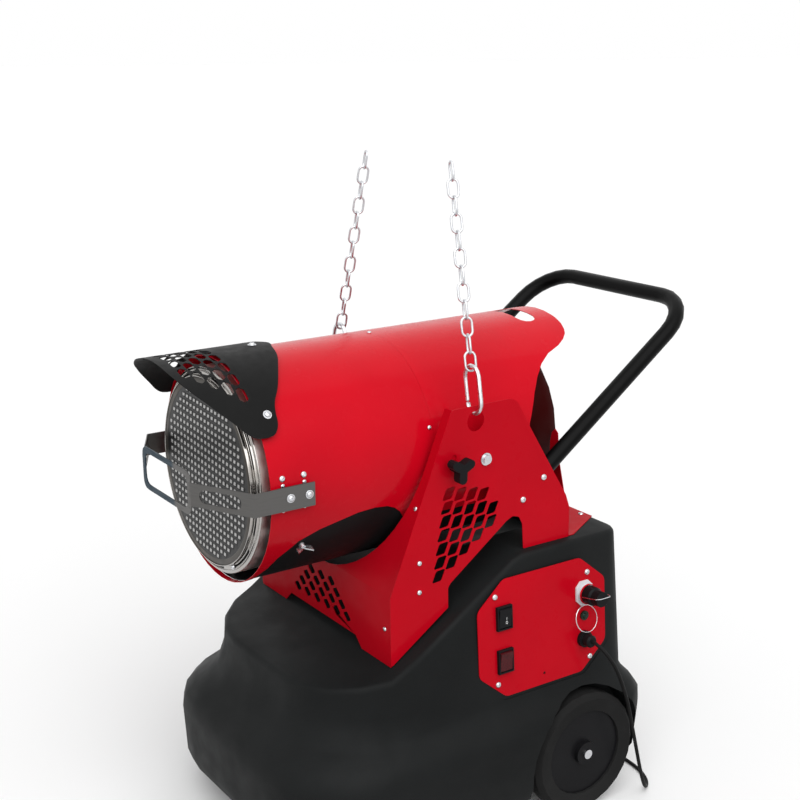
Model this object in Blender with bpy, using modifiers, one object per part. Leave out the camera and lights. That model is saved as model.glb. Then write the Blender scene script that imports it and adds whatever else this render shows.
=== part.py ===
# Oil-fired infrared heater on a wheeled tank: burner in a folded support, guard, handle, controls and sling.
# Metres, +Z up, front towards -Y, control side towards +X, floor at Z = 0.
import math

import bmesh
import bpy
import numpy as np
from mathutils import Matrix, Vector
from mathutils.geometry import delaunay_2d_cdt

for old in list(bpy.data.objects):
    bpy.data.objects.remove(old, do_unlink=True)

# Degrees between the fold lines of a rolled sheet
roll_step = 7.5
turn_steps = 48

# Where the support's front foot stands in the frame
middle_x = -0.0080
foot_y = -0.2173
foot_z = 0.395
frame_shift = Vector((middle_x, foot_y, foot_z))

# Gaps and sheet thicknesses
touch_gap = 0.0003
running_gap = 0.00012
sheet = 0.0015
thin_sheet = 0.0012

# Distances under which points are one point
weld_gap = 0.00001
fine_weld = 0.000001
flat_weld = 0.0000005

# Burner body
shell_radius = 0.209
rim_y = -0.213
seam_y = 0.127
ring_end_y = -0.203
under_radius = shell_radius - thin_sheet - touch_gap
under_start_y = -0.2025
under_end_y = 0.330
can_gap = 0.019
can_radius = shell_radius - can_gap
can_rear_y = 0.100
ring_width = 0.018
disc_radius = can_radius - ring_width
disc_y = -0.232
disc_thick = 0.0012
bracket_radius = shell_radius + touch_gap + thin_sheet
visor_stand = 0.0080
visor_radius = bracket_radius + visor_stand
drum_step = 0.037
drum_radius = shell_radius - drum_step
drum_front_y = 0.300
drum_rear_y = 0.455
drum_round = 0.030
drum_flange_radius = (under_radius - thin_sheet) * math.cos(math.pi / turn_steps) - touch_gap

# Support
trunnion_room = 0.036
support_half = shell_radius + trunnion_room
panel_inner = support_half - sheet
fold_z = 0.137
saddle_gap = 0.0145
saddle_drop = 0.004
saddle_radius = shell_radius + saddle_gap
deck_z = 0.1647

# Burner axis, pivot and lock stud (measured from the front foot)
axis_z = fold_z - saddle_drop + saddle_radius
pivot_y = 0.2125
pivot_rise = 0.0035
pivot_z = axis_z + pivot_rise
lock_reach = 0.0725
tilt_range = math.radians(12)
slant_y = 0.1360
slant_rise = 0.1075
slant_z = axis_z + slant_rise

# Bolts and studs
bolt_radius = 0.005
stud_slot_half = 0.0055

hidden = bpy.data.collections.new("cutters")
bpy.context.scene.collection.children.link(hidden)


# Materials

def material(name, color, metallic=0.0, roughness=0.5):
    made = bpy.data.materials.new(name)
    made.use_nodes = True
    shader = made.node_tree.nodes["Principled BSDF"]
    shader.inputs["Base Color"].default_value = (*color, 1.0)
    shader.inputs["Metallic"].default_value = metallic
    shader.inputs["Roughness"].default_value = roughness
    return made


red_shares = (0.60, 0.012, 0.022)
black_shares = (0.018, 0.018, 0.020)
dark_shares = (0.030, 0.030, 0.032)
steel_shares = (0.62, 0.61, 0.60)
zinc_shares = (0.75, 0.76, 0.78)
white_shares = (0.80, 0.80, 0.82)
glow_red_shares = (0.16, 0.02, 0.03)
green_shares = (0.02, 0.10, 0.05)

red_paint = ("red_paint", red_shares, 0.0, 0.25)
black_paint = ("black_paint", black_shares, 0.0, 0.45)
tank_plastic = ("tank_plastic", black_shares, 0.0, 0.55)
stainless = ("stainless", steel_shares, 1.0, 0.25)
guard_steel = ("guard_steel", steel_shares, 1.0, 0.40)
zinc = ("zinc", zinc_shares, 1.0, 0.20)
dark_plastic = ("dark_plastic", dark_shares, 0.0, 0.40)
white_plastic = ("white_plastic", white_shares, 0.0, 0.35)
red_lens = ("red_lens", glow_red_shares, 0.0, 0.20)
green_lens = ("green_lens", green_shares, 0.0, 0.15)
rubber = ("rubber", dark_shares, 0.0, 0.75)


# Mesh helpers

def finish_object(name, mesh, look, cutter=False, origin=None):
    place = frame_shift.copy()
    if origin is not None:
        mesh.transform(Matrix.Translation(-Vector(origin)))
        place = place + Vector(origin)
    made = bpy.data.objects.new(name, mesh)
    made.location = place
    if cutter:
        hidden.objects.link(made)
        made.hide_render = True
        made.display_type = "WIRE"
    else:
        bpy.context.scene.collection.objects.link(made)
        if look is not None:
            mesh.materials.append(material(name + "_" + look[0], look[1], look[2], look[3]))
    return made


def mesh_from(points, faces, name="form", weld=weld_gap):
    mesh = bpy.data.meshes.new(name)
    mesh.from_pydata([tuple(p) for p in points], [], faces)
    form = bmesh.new()
    form.from_mesh(mesh)
    bmesh.ops.remove_doubles(form, verts=form.verts, dist=weld)
    bmesh.ops.recalc_face_normals(form, faces=form.faces)
    form.to_mesh(mesh)
    form.free()
    mesh.update()
    return mesh


def prism_mesh(outline, axis, low, high):
    """A flat outline pushed along one axis; the outline gives the other two axes in order."""
    points = []
    for level in (low, high):
        for a, b in outline:
            point = {"x": (level, a, b), "y": (a, level, b), "z": (a, b, level)}[axis]
            points.append(point)
    count = len(outline)
    faces = [list(range(count)), list(range(2 * count - 1, count - 1, -1))]
    for i in range(count):
        j = (i + 1) % count
        faces.append([i, j, count + j, count + i])
    return mesh_from(points, faces)


def prism(name, outline, axis, low, high, look=None, cutter=False, origin=None):
    return finish_object(name, prism_mesh(outline, axis, low, high), look, cutter, origin)


def block(name, x, y, z, look=None, cutter=False, origin=None):
    outline = [(x[0], y[0]), (x[1], y[0]), (x[1], y[1]), (x[0], y[1])]
    return prism(name, outline, "z", z[0], z[1], look, cutter, origin)


def lathe_mesh(profile, centre, direction, steps, start=0.0):
    """A closed profile of (radius, travel) turned about an axis."""
    along = Vector(direction).normalized()
    side = along.orthogonal().normalized()
    if abs(along.y) == 1:
        side = Vector((0, 0, 1))
    if abs(along.x) == 1:
        side = Vector((0, 0, 1))
    other = along.cross(side)
    points = []
    faces = []
    count = len(profile)
    for i in range(steps):
        angle = start + 2 * math.pi * i / steps
        ray = side * math.cos(angle) + other * math.sin(angle)
        for radius, travel in profile:
            points.append(Vector(centre) + along * travel + ray * radius)
    for i in range(steps):
        k = (i + 1) % steps
        for j in range(count):
            m = (j + 1) % count
            if profile[j][0] == 0 and profile[m][0] == 0:
                continue
            faces.append([i * count + j, i * count + m, k * count + m, k * count + j])
    mesh = bpy.data.meshes.new("turned")
    mesh.from_pydata([tuple(p) for p in points], [], faces)
    form = bmesh.new()
    form.from_mesh(mesh)
    bmesh.ops.remove_doubles(form, verts=form.verts, dist=fine_weld)
    bmesh.ops.dissolve_degenerate(form, edges=form.edges, dist=fine_weld)
    bmesh.ops.recalc_face_normals(form, faces=form.faces)
    form.to_mesh(mesh)
    form.free()
    return mesh


def lathe(name, profile, centre, direction, steps, look=None, cutter=False, origin=None):
    return finish_object(name, lathe_mesh(profile, centre, direction, steps), look, cutter, origin)


def rod(name, centre, direction, radius, low, high, steps=24, look=None, cutter=False, origin=None):
    profile = [(0, low), (radius, low), (radius, high), (0, high)]
    return lathe(name, profile, centre, direction, steps, look, cutter, origin)


def boolean(target, cutter, operation="DIFFERENCE"):
    step = target.modifiers.new("cut", "BOOLEAN")
    step.operation = operation
    step.solver = "EXACT"
    step.object = cutter
    return step


def bevel(target, width, segments=2, angle=math.radians(35)):
    step = target.modifiers.new("edge", "BEVEL")
    step.width = width
    step.segments = segments
    step.limit_method = "ANGLE"
    step.angle_limit = angle
    step.use_clamp_overlap = True
    return step


def merge_meshes(name, meshes, look=None, cutter=False, origin=None):
    """Several separate forms in one mesh, used as one cutter or as one side of a union."""
    form = bmesh.new()
    for mesh in meshes:
        form.from_mesh(mesh)
    mesh = bpy.data.meshes.new(name)
    form.to_mesh(mesh)
    form.free()
    return finish_object(name, mesh, look, cutter, origin)


def arc_points(centre, radius, first, last, count):
    found = []
    for i in range(count + 1):
        angle = first + (last - first) * i / count
        found.append((centre[0] + radius * math.cos(angle), centre[1] + radius * math.sin(angle)))
    return found


def rounded(outline, radius, count=3):
    """The same outline with its corners rounded."""
    found = []
    total = len(outline)
    for i in range(total):
        before = Vector(outline[i - 1])
        here = Vector(outline[i])
        after = Vector(outline[(i + 1) % total])
        reach = radius[i] if isinstance(radius, (list, tuple)) else radius
        if reach == 0:
            found.append(tuple(here))
            continue
        into = (before - here).normalized()
        out = (after - here).normalized()
        half = into.angle(out) / 2
        back = min(reach / math.tan(half), (before - here).length / 2.05, (after - here).length / 2.05)
        start = here + into * back
        end = here + out * back
        for k in range(count + 1):
            t = k / count
            found.append(tuple(start * (1 - t) ** 2 + here * 2 * t * (1 - t) + end * t ** 2))
    return found


def between(value, table):
    """Straight-line reading of a table of (place, value) pairs."""
    if value <= table[0][0]:
        return table[0][1]
    for (low, a), (high, b) in zip(table, table[1:]):
        if value <= high:
            return a + (b - a) * (value - low) / (high - low)
    return table[-1][1]


def sweep_mesh(path, radius, sides, closed=False, squash_share=1.0):
    """A round wire along a path of points."""
    path = [Vector(p) for p in path]
    total = len(path)
    points = []
    faces = []
    normal = None
    for i, here in enumerate(path):
        if closed:
            along = (path[(i + 1) % total] - path[i - 1]).normalized()
        else:
            first = path[max(i - 1, 0)]
            last = path[min(i + 1, total - 1)]
            along = (last - first).normalized()
        if normal is None:
            normal = along.orthogonal().normalized()
        normal = (normal - along * normal.dot(along)).normalized()
        other = along.cross(normal)
        for k in range(sides):
            angle = 2 * math.pi * k / sides
            points.append(here + (normal * math.cos(angle) + other * math.sin(angle) * squash_share) * radius)
    loops = total if closed else total - 1
    for i in range(loops):
        j = (i + 1) % total
        for k in range(sides):
            m = (k + 1) % sides
            faces.append([i * sides + k, i * sides + m, j * sides + m, j * sides + k])
    if not closed:
        faces.append(list(range(sides)))
        faces.append(list(range((total - 1) * sides, total * sides)))
    return mesh_from(points, faces)


def is_inside(point, outline):
    """Whether a flat point lies inside a closed outline."""
    inside = False
    for i in range(len(outline)):
        a = outline[i - 1]
        b = outline[i]
        if (a[1] > point[1]) != (b[1] > point[1]):
            if point[0] < (b[0] - a[0]) * (point[1] - a[1]) / (b[1] - a[1]) + a[0]:
                inside = not inside
    return inside


def rolled_sheet_mesh(outline, thick, radius, holes=(), full_turn=False):
    """A sheet cut to an outline of (degrees from the top, distance) and rolled about the burner axis."""
    loops = [[(math.radians(u) * radius, y) for u, y in loop] for loop in [outline, *holes]]
    flat = []
    edges = []
    for loop in loops:
        base = len(flat)
        flat += [Vector(p) for p in loop]
        edges += [(base + i, base + (i + 1) % len(loop)) for i in range(len(loop))]
    low = min(y for _, y in loops[0])
    high = max(y for _, y in loops[0])
    first = math.floor(min(u for u, _ in outline) / roll_step) + 1
    last = math.ceil(max(u for u, _ in outline) / roll_step) - 1
    for i in range(first, last + 1):
        arc = math.radians(i * roll_step) * radius
        flat += [Vector((arc, low - sheet)), Vector((arc, high + sheet))]
        edges.append((len(flat) - 2, len(flat) - 1))
    found, _, faces, _, _, _ = delaunay_2d_cdt(flat, edges, [], 0, flat_weld)
    kept = []
    for face in faces:
        middle = sum((found[i] for i in face), Vector((0, 0))) / len(face)
        if is_inside(middle, loops[0]) and not any(is_inside(middle, loop) for loop in loops[1:]):
            kept.append(list(face))
    used = {}
    for face in kept:
        for i in range(len(face)):
            pair = tuple(sorted((face[i - 1], face[i])))
            used.setdefault(pair, []).append((face[i - 1], face[i]))
    count = len(found)
    points = []
    for depth in (radius, radius - thick):
        for place in found:
            angle = place.x / radius
            points.append((depth * math.sin(angle), place.y, axis_z + depth * math.cos(angle)))
    result = [face for face in kept] + [[count + i for i in reversed(face)] for face in kept]
    half_turn = math.pi * radius - sheet / 10
    for runs in used.values():
        if len(runs) > 1:
            continue
        a, b = runs[0]
        if full_turn and abs(found[a].x) > half_turn and abs(found[b].x) > half_turn:
            continue
        result.append([b, a, count + a, count + b])
    kept_points = sorted({i for face in result for i in face})
    place_of = {old: new for new, old in enumerate(kept_points)}
    result = [[place_of[i] for i in face] for face in result]
    return mesh_from([points[i] for i in kept_points], result, weld=fine_weld)


def mirrored(half_outline):
    """A whole outline from its right half, listed from one end of the middle line to the other."""
    return half_outline + [(-u, y) for u, y in reversed(half_outline) if u != 0]


def polar(radius, degrees, y):
    angle = math.radians(degrees)
    return Vector((radius * math.sin(angle), y, axis_z + radius * math.cos(angle)))


# Tank: a drafted upper body with a sloped top on a wider rounded base

base_z = -0.330
tank_border = 0.085
base_half = support_half + tank_border
base_front = -0.222
base_rear = 0.580
tank_corner = 0.110
base_depth = base_rear - base_front
tank_height = deck_z - base_z
# Shares of height, half width, depth cut off at the front and at the rear, front and rear corner radius
tank_row_shares = ((0, 0.9091, 0.0385, 0.0385, 1.36, 0.727), (0.0101, 0.9545, 0.0192, 0.0192, 1.45, 0.727),
                   (0.0606, 0.9818, 0.0077, 0.0077, 1.55, 0.727), (0.2628, 1, 0, 0, 1.64, 0.727),
                   (0.3196, 0.9909, 0.0064, 0.0026, 1.68, 0.682),
                   (0.3602, 0.9606, 0.0244, 0.0178, 1.73, 0.636),
                   (0.3925, 0.9152, 0.05, 0.036, 1.75, 0.545), (0.4248, 0.8848, 0.072, 0.048, 1.75, 0.455),
                   (0.5054, 0.8758, 0.0936, 0.052, 1.7, 0.409), (0.7681, 0.8424, 0.1051, 0.057, 1.6, 0.364),
                   (1, 0.8106, 0.1115, 0.061, 1.55, 0.318))
tank_rows = [(base_z + tank_height * z, base_half * half, base_front + base_depth * front,
              base_rear - base_depth * rear, tank_corner * corner, tank_corner * rear_corner)
             for z, half, front, rear, corner, rear_corner in tank_row_shares]
# Shares of the depth and the height that the sloped top passes
tank_top_shares = ((0.0648, 0.5913), (0.2594, 0.6489), (0.6035, 0.9854), (0.6334, 1), (1.025, 1))
tank_top = [(base_front + base_depth * y, base_z + tank_height * z) for y, z in tank_top_shares]
side_station_shares = (0.335, 0.4264, 0.6035, 0.6334)
tank_side_y = [base_front + base_depth * share for share in side_station_shares]
tank_corner_steps = 5
ridge_round = 0.012
ridge_shares = ((0, 1), (0.083, 0.5), (0.333, 0.167), (0.75, 0))
ridge_steps = [(ridge_round * inset, ridge_round * drop) for inset, drop in ridge_shares]


def tank_wall(z):
    """Half width, front, rear and the two corner radii of the tank's wall at one height."""
    if z <= tank_rows[0][0]:
        return tank_rows[0][1:]
    for low, high in zip(tank_rows, tank_rows[1:]):
        if z <= high[0]:
            t = (z - low[0]) / (high[0] - low[0])
            return tuple(a + (b - a) * t for a, b in zip(low[1:], high[1:]))
    return tank_rows[-1][1:]


def tank_outline(wall, inset=0.0):
    """Right half of the plan outline from the front middle to the rear middle."""
    half, front, rear, corner, rear_corner = wall
    half = half - inset
    front = front + inset
    rear = rear - inset
    corner = corner - inset
    rear_corner = rear_corner - inset
    points = [(0.0, front), ((half - corner) / 2, front)]
    turn = math.pi / 2
    points += arc_points((half - corner, front + corner), corner, -turn, 0.0, tank_corner_steps)
    points += [(half, y) for y in tank_side_y if front + corner < y < rear - rear_corner]
    missing = 2 + tank_corner_steps + 1 + len(tank_side_y) - len(points)
    points += [(half, rear - rear_corner)] * missing
    points += arc_points((half - rear_corner, rear - rear_corner), rear_corner, 0.0, turn, tank_corner_steps)
    points += [((half - rear_corner) / 2, rear), (0.0, rear)]
    return points


def tank_ring(height_of, inset=0.0):
    """One ring of points whose height may follow the sloped top."""
    base = tank_outline(tank_wall(height_of(0.0)), inset)
    ring = []
    for i in range(len(base)):
        z = height_of(base[i][1])
        for _ in range(3):
            x, y = tank_outline(tank_wall(z), inset)[i]
            z = height_of(y)
        ring.append((x, y, z))
    return ring


def tank_mesh():
    rings = []
    for row in tank_rows[:9]:
        rings.append([(x, y, row[0]) for x, y in tank_outline(row[1:])])
    for t in (0.35, 0.7):
        start = tank_rows[8][0]
        rings.append(tank_ring(lambda y, t=t: start + (between(y, tank_top) - ridge_steps[0][1] - start) * t))
    for inset, drop in ridge_steps:
        rings.append(tank_ring(lambda y, d=drop: between(y, tank_top) - d, inset))
    points = []
    half = len(rings[0])
    for ring in rings:
        points += ring
        points += [(-x, y, z) for x, y, z in ring]
    faces = []
    for j in range(len(rings) - 1):
        low = j * 2 * half
        high = (j + 1) * 2 * half
        for i in range(half - 1):
            faces.append([low + i, low + i + 1, high + i + 1, high + i])
            faces.append([low + half + i + 1, low + half + i, high + half + i, high + half + i + 1])
    for level in (0, len(rings) - 1):
        low = level * 2 * half
        flat = 3
        for i in range(flat, half - flat - 1):
            faces.append([low + i, low + i + 1, low + half + i + 1, low + half + i])
        front = [low + i for i in range(flat + 1)] + [low + half + i for i in range(flat, 0, -1)]
        rear = [low + i for i in range(half - flat - 1, half)]
        rear += [low + half + i for i in range(half - 2, half - flat - 2, -1)]
        faces += [front, rear]
    return mesh_from(points, faces, "tank")


tank = finish_object("tank", tank_mesh(), tank_plastic)

# Trough under the burner
trough_room = 0.037
trough_radius = shell_radius + trough_room
trough_start_y = 0.150
trough_end_y = 0.485
boolean(tank, rod("trough_cutter", (0, 0, axis_z), (0, 1, 0), trough_radius, trough_start_y, trough_end_y,
                  turn_steps, cutter=True))

# Control side: a plate on the drafted wall; places on it are (along Y, up the plate, outwards)
plate_lean = math.radians(3.4)
plate_y = 0.3232
plate_z = 0.0135
plate_stand = 0.0031
plate_centre = Vector((tank_wall(plate_z)[0] + plate_stand, plate_y, plate_z))
plate_out = Vector((math.cos(plate_lean), 0, math.sin(plate_lean)))
plate_up = Vector((-math.sin(plate_lean), 0, math.cos(plate_lean)))
plate_along = Vector((0, 1, 0))


def on_plate(along, up, out):
    return plate_centre + plate_along * along + plate_up * up + plate_out * out


def plate_prism_mesh(outline, low, high):
    points = []
    for level in (low, high):
        for a, b in outline:
            points.append(on_plate(a, b, level))
    count = len(outline)
    faces = [list(range(count)), list(range(2 * count - 1, count - 1, -1))]
    for i in range(count):
        j = (i + 1) % count
        faces.append([i, j, count + j, count + i])
    return mesh_from(points, faces)


def plate_prism(name, outline, low, high, look=None, cutter=False, origin=None):
    return finish_object(name, plate_prism_mesh(outline, low, high), look, cutter, origin)


def octagon(half_a, half_b, cut_a, cut_b):
    return [(-half_a, -half_b + cut_b), (-half_a + cut_a, -half_b), (half_a - cut_a, -half_b),
            (half_a, -half_b + cut_b), (half_a, half_b - cut_b), (half_a - cut_a, half_b),
            (-half_a + cut_a, half_b), (-half_a, half_b - cut_b)]


plate_half_along = 0.1555
plate_half_up = 0.1170
plate_cut_along = 0.062
plate_cut_up = 0.052
plate_corner = 0.020
recess_border = 0.007
recess_depth = 0.018
recess_reach = 0.060
plate_outline = rounded(octagon(plate_half_along, plate_half_up, plate_cut_along, plate_cut_up), plate_corner)
recess_outline = rounded(octagon(plate_half_along + recess_border, plate_half_up + recess_border,
                                 plate_cut_along, plate_cut_up), plate_corner)
plate_back = -0.0015
recess_floor = plate_back - touch_gap
boolean(tank, plate_prism("recess_cutter", recess_outline, recess_floor, recess_reach, cutter=True))

# Places and sizes of what the plate carries
switch_along = -0.0960
switch_offset = 0.0430
switch_ups = (switch_offset, -switch_offset)
switch_half_along = 0.0175
switch_half_up = 0.0235
switch_cut_gap = 0.0005
socket_along = 0.1010
socket_up = 0.0450
socket_bore = 0.0165
lamp_along = 0.1010
lamp_up = -0.0020
lamp_radius = 0.0065
gland_along = 0.0990
gland_up = -0.0495
gland_radius = 0.0085
drain_along = 0.0
drain_up = -0.0950
drain_radius = 0.0030
flange_half_along = 0.0205
flange_half_up = 0.0245

# Control box behind the plate, round all that passes through it
box_room = 0.0065
box_room_up = 0.0025
box_half_along = socket_along + flange_half_along + box_room
box_half_up = socket_up + flange_half_up + box_room_up
box_depth = 0.074
pocket_gap = 0.002
pocket_outline = [(-box_half_along - pocket_gap, -box_half_up - pocket_gap),
                  (box_half_along + pocket_gap, -box_half_up - pocket_gap),
                  (box_half_along + pocket_gap, box_half_up + pocket_gap),
                  (-box_half_along - pocket_gap, box_half_up + pocket_gap)]
boolean(tank, plate_prism("pocket_cutter", pocket_outline, -box_depth - pocket_gap, recess_reach / 2,
                          cutter=True))

# Wheels, their wells and the axle's tunnel
wheel_radius = 0.125
wheel_y = 0.412
wheel_z = wheel_radius - foot_z
wheel_inner = 0.268
wheel_outer = 0.318
well_inner = 0.258
tyre_room = 0.015
well_radius = wheel_radius + tyre_room
well_reach = base_half + tank_border
axle_radius = 0.0095
tunnel_radius = 0.0100
axle_end = 0.3225
well_drop = 0.200
for side, label in ((1, "right"), (-1, "left")):
    well = rod("well_cutter_" + label, (0, wheel_y, wheel_z), (side, 0, 0), well_radius, well_inner,
               well_reach, 28, cutter=True)
    boolean(tank, well)
    low, high = sorted((side * well_inner, side * well_reach))
    drop = block("well_drop_cutter_" + label, (low, high), (wheel_y - well_radius, wheel_y + well_radius),
                 (wheel_z - well_drop, wheel_z), cutter=True)
    boolean(tank, drop)
boolean(tank, rod("tunnel_cutter", (0, wheel_y, wheel_z), (1, 0, 0), tunnel_radius, -well_reach, well_reach,
                  24, cutter=True))

# Filler neck on the far side
filler_tilt = math.radians(35)
filler_axis = Vector((-math.cos(filler_tilt), 0, math.sin(filler_tilt)))
filler_y = 0.330
filler_z = 0.047
filler_sink = 0.016
filler_foot = Vector((filler_sink - tank_wall(filler_z)[0], filler_y, filler_z))
filler_root = -0.060
filler_radius = 0.034
filler_length = 0.030
neck_bore = 0.024
neck_bore_depth = 0.050
filler_well_radius = 0.056
filler_well_reach = 0.120
boolean(tank, rod("filler_well_cutter", filler_foot, filler_axis, filler_well_radius, 0, filler_well_reach,
                  28, cutter=True))
neck_mesh = lathe_mesh([(0, filler_root), (filler_radius, filler_root), (filler_radius, filler_length),
                        (0, filler_length)], filler_foot, filler_axis, 28)
boolean(tank, finish_object("neck_form", neck_mesh, None, cutter=True), "UNION")
boolean(tank, rod("neck_bore_cutter", filler_foot, filler_axis, neck_bore, filler_length - neck_bore_depth,
                  filler_length * 2, 24, cutter=True))

cap_radius = 0.043
cap_skirt = 0.022
cap_top = 0.016
cap_dip_radius = 0.030
cap_dip = 0.003
cap_profile = [(0, filler_length + touch_gap), (filler_radius + touch_gap, filler_length + touch_gap),
               (filler_radius + touch_gap, filler_length - cap_skirt),
               (cap_radius, filler_length - cap_skirt),
               (cap_radius, filler_length + cap_top), (cap_dip_radius, filler_length + cap_top),
               (cap_dip_radius - cap_dip, filler_length + cap_top - cap_dip),
               (0, filler_length + cap_top - cap_dip)]
cap_grips = 12
filler_cap = lathe("filler_cap", cap_profile, filler_foot, filler_axis, cap_grips * 2, dark_plastic,
                   origin=filler_foot)

for side, label in ((1, "right"), (-1, "left")):
    centre = (side * (wheel_inner + wheel_outer) / 2, wheel_y, wheel_z)
    half = (wheel_outer - wheel_inner) / 2
    tyre_inner = 0.088
    tyre_shoulder = 0.010
    tyre_profile = [(tyre_inner, -half + tyre_shoulder / 2), (wheel_radius - tyre_shoulder, -half),
                    (wheel_radius, -half + tyre_shoulder), (wheel_radius, half - tyre_shoulder),
                    (wheel_radius - tyre_shoulder, half), (tyre_inner, half - tyre_shoulder / 2)]
    lathe("tyre_" + label, tyre_profile, centre, (side, 0, 0), 24, rubber, origin=centre)
    rim_outer = tyre_inner - touch_gap
    hub_radius = 0.024
    web_half = half - tyre_shoulder
    hub_half = half - touch_gap
    hub_profile = [(axle_radius + running_gap, -hub_half), (hub_radius, -hub_half), (hub_radius, -web_half),
                   (rim_outer, -web_half), (rim_outer, web_half), (hub_radius, web_half),
                   (hub_radius, hub_half),
                   (axle_radius + running_gap, hub_half)]
    lathe("wheel_hub_" + label, hub_profile, centre, (side, 0, 0), 24, dark_plastic, origin=centre)
rod("axle", (0, wheel_y, wheel_z), (1, 0, 0), axle_radius, -axle_end, axle_end, 24, zinc)

# Front skid: a bent bar under the tank's front
skid_radius = 0.012
skid_half = 0.215
skid_y = -0.120
skid_top = base_z - touch_gap
skid_floor = skid_radius - foot_z
skid_bend = 0.035
skid_bend_steps = 5
skid_path = [(-skid_half, skid_y, skid_top)]
for i in range(skid_bend_steps + 1):
    angle = math.pi / 2 * i / skid_bend_steps
    skid_path.append((-skid_half + skid_bend * (1 - math.cos(angle)), skid_y,
                      skid_floor + skid_bend * (1 - math.sin(angle))))
skid_path += [(-x, y, z) for x, y, z in reversed(skid_path)]
finish_object("front_skid", sweep_mesh(skid_path, skid_radius, 10), black_paint)

# Side panels of the support
panel_depth = 0.4145
panel_rise = 0.1085
panel_height = axis_z + panel_rise
panel_corner = 0.020
rear_foot_share = 0.72
# Shares of the panel's depth and height, from the top edge back and round to the lower edge
side_shares = ((0.6514, 1), (0.6876, 0.9849), (0.7672, 0.8602), (0.9807, 0.5419), (1, 0.4925),
               (1, 0.3548), (0.731, 0.3548), (0.7238, 0.4624), (0.7045, 0.4968), (0.6683, 0.5075),
               (0.6321, 0.4925), (0.3209, 0.2903), (0.3069, 0.2731), (0.3069, 0.1892))
side_corner_shares = (0, 0, 0.5, 1, 1, 2, 1, 0.5, 0.1, 0.1, 0.5, 0.4, 0.5, 0.5, 0.4, 0.4, 0.15, 0)
toe_rise = 0.004
toe_run = 0.0035
side_outline = [(0, toe_rise), (0, fold_z), (slant_y, slant_z + sheet / 3)]
side_outline += [(panel_depth * y, panel_height * z) for y, z in side_shares]
side_outline.append((toe_run, toe_rise))
side_corners = [panel_corner * share for share in side_corner_shares]
# The rear foot stands on the tank's deck
side_outline = [(y, max(z, deck_z + touch_gap)) if y > panel_depth * rear_foot_share else (y, z)
                for y, z in side_outline]
hook_y = 0.1895
hook_drop = 0.0294
hook_z = panel_height - hook_drop
hook_hole = (hook_y, hook_z)
hook_hole_radius = 0.0190
# Perforations: parallelograms on a slanted grid, fewer in each lower row. First hole, step along a row and
# step to the next row, each as a share of the panel's depth and of its height
perforation_place_shares = ((0.3129, 0.6649), (0.062, -0.0114), (-0.0094, -0.05527))
((perforation_y, perforation_z), (perforation_pitch, perforation_fall),
 (perforation_row_y, perforation_row_z)) = [
    (panel_depth * y, panel_height * z) for y, z in perforation_place_shares]
perforation_counts = (4, 5, 5, 4, 3, 2, 1)
perforation_shares = ((-0.56, -0.37), (-0.44, -0.46), (0.16, -0.41), (0.27, -0.3),
                      (0.56, 0.37), (0.44, 0.46), (-0.16, 0.41), (-0.27, 0.3))
perforation_corners = [(perforation_pitch * u, -perforation_row_z * v) for u, v in perforation_shares]
arc_steps = 5


def slot_outline(centre, reach, half, first, last):
    """A curved slot about a pivot, for a stud that rides round it."""
    points = arc_points(centre, reach + half, first, last, arc_steps)
    end = (centre[0] + reach * math.cos(last), centre[1] + reach * math.sin(last))
    points += arc_points(end, half, last, last + math.pi, arc_steps)[1:-1]
    points += arc_points(centre, reach - half, last, first, arc_steps)
    start = (centre[0] + reach * math.cos(first), centre[1] + reach * math.sin(first))
    points += arc_points(start, half, first + math.pi, first + 2 * math.pi, arc_steps)[1:-1]
    return points


for side, label in ((1, "right"), (-1, "left")):
    low, high = sorted((side * panel_inner, side * support_half))
    panel = prism("side_panel_" + label, rounded(side_outline, side_corners, 2), "x", low, high, red_paint)
    cuts = []
    for j, count in enumerate(perforation_counts):
        for i in range(count):
            a = perforation_y + perforation_row_y * j + perforation_pitch * i
            b = perforation_z + perforation_row_z * j + perforation_fall * i
            shape = [(a + u, b + v) for u, v in perforation_corners]
            cuts.append(prism_mesh(shape, "x", low - sheet, high + sheet))
    cuts.append(prism_mesh(arc_points(hook_hole, hook_hole_radius, 0, 2 * math.pi * 19 / 20, 19), "x",
                           low - sheet, high + sheet))
    cuts.append(prism_mesh(arc_points((pivot_y, pivot_z), bolt_radius + running_gap, 0,
                                      2 * math.pi * 15 / 16, 15),
                           "x", low - sheet, high + sheet))
    cuts.append(prism_mesh(slot_outline((pivot_y, pivot_z), lock_reach, stud_slot_half, math.pi - tilt_range,
                                        math.pi), "x", low - sheet, high + sheet))
    boolean(panel, merge_meshes("panel_cutter_" + label, cuts, cutter=True))

# Front plate: two feet, a saddle for the burner and flanges inside the panels
foot_rise = 0.0010
slant = Vector((slant_y, slant_z - fold_z)).normalized()
fold_back = math.tan((math.pi / 2 - math.atan2(slant.y, slant.x)) / 2) * sheet
front_profile = [(0, foot_rise), (0, fold_z), (slant_y, slant_z),
                 (slant_y + sheet * slant.y, slant_z - sheet * slant.x), (sheet, fold_z - fold_back),
                 (sheet, foot_rise)]
front_half = panel_inner - touch_gap
front_plate = prism("front_plate", front_profile, "x", -front_half, front_half, red_paint)
foot_inner = 0.145
notch_half = 0.123
notch_z = 0.0215
notch_corner = 0.006
below = 0.020
saddle_top = 0.520
saddle = [(-saddle_radius, saddle_top), (-saddle_radius, axis_z)]
saddle += arc_points((0, axis_z), saddle_radius, math.pi, 2 * math.pi, 24)[1:-1]
saddle += [(saddle_radius, axis_z), (saddle_radius, saddle_top)]
front_reach = 0.200
notch = [(-foot_inner, -below), (-foot_inner, 0.0), (-notch_half, notch_z), (notch_half, notch_z),
         (foot_inner, 0.0), (foot_inner, -below)]
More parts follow.
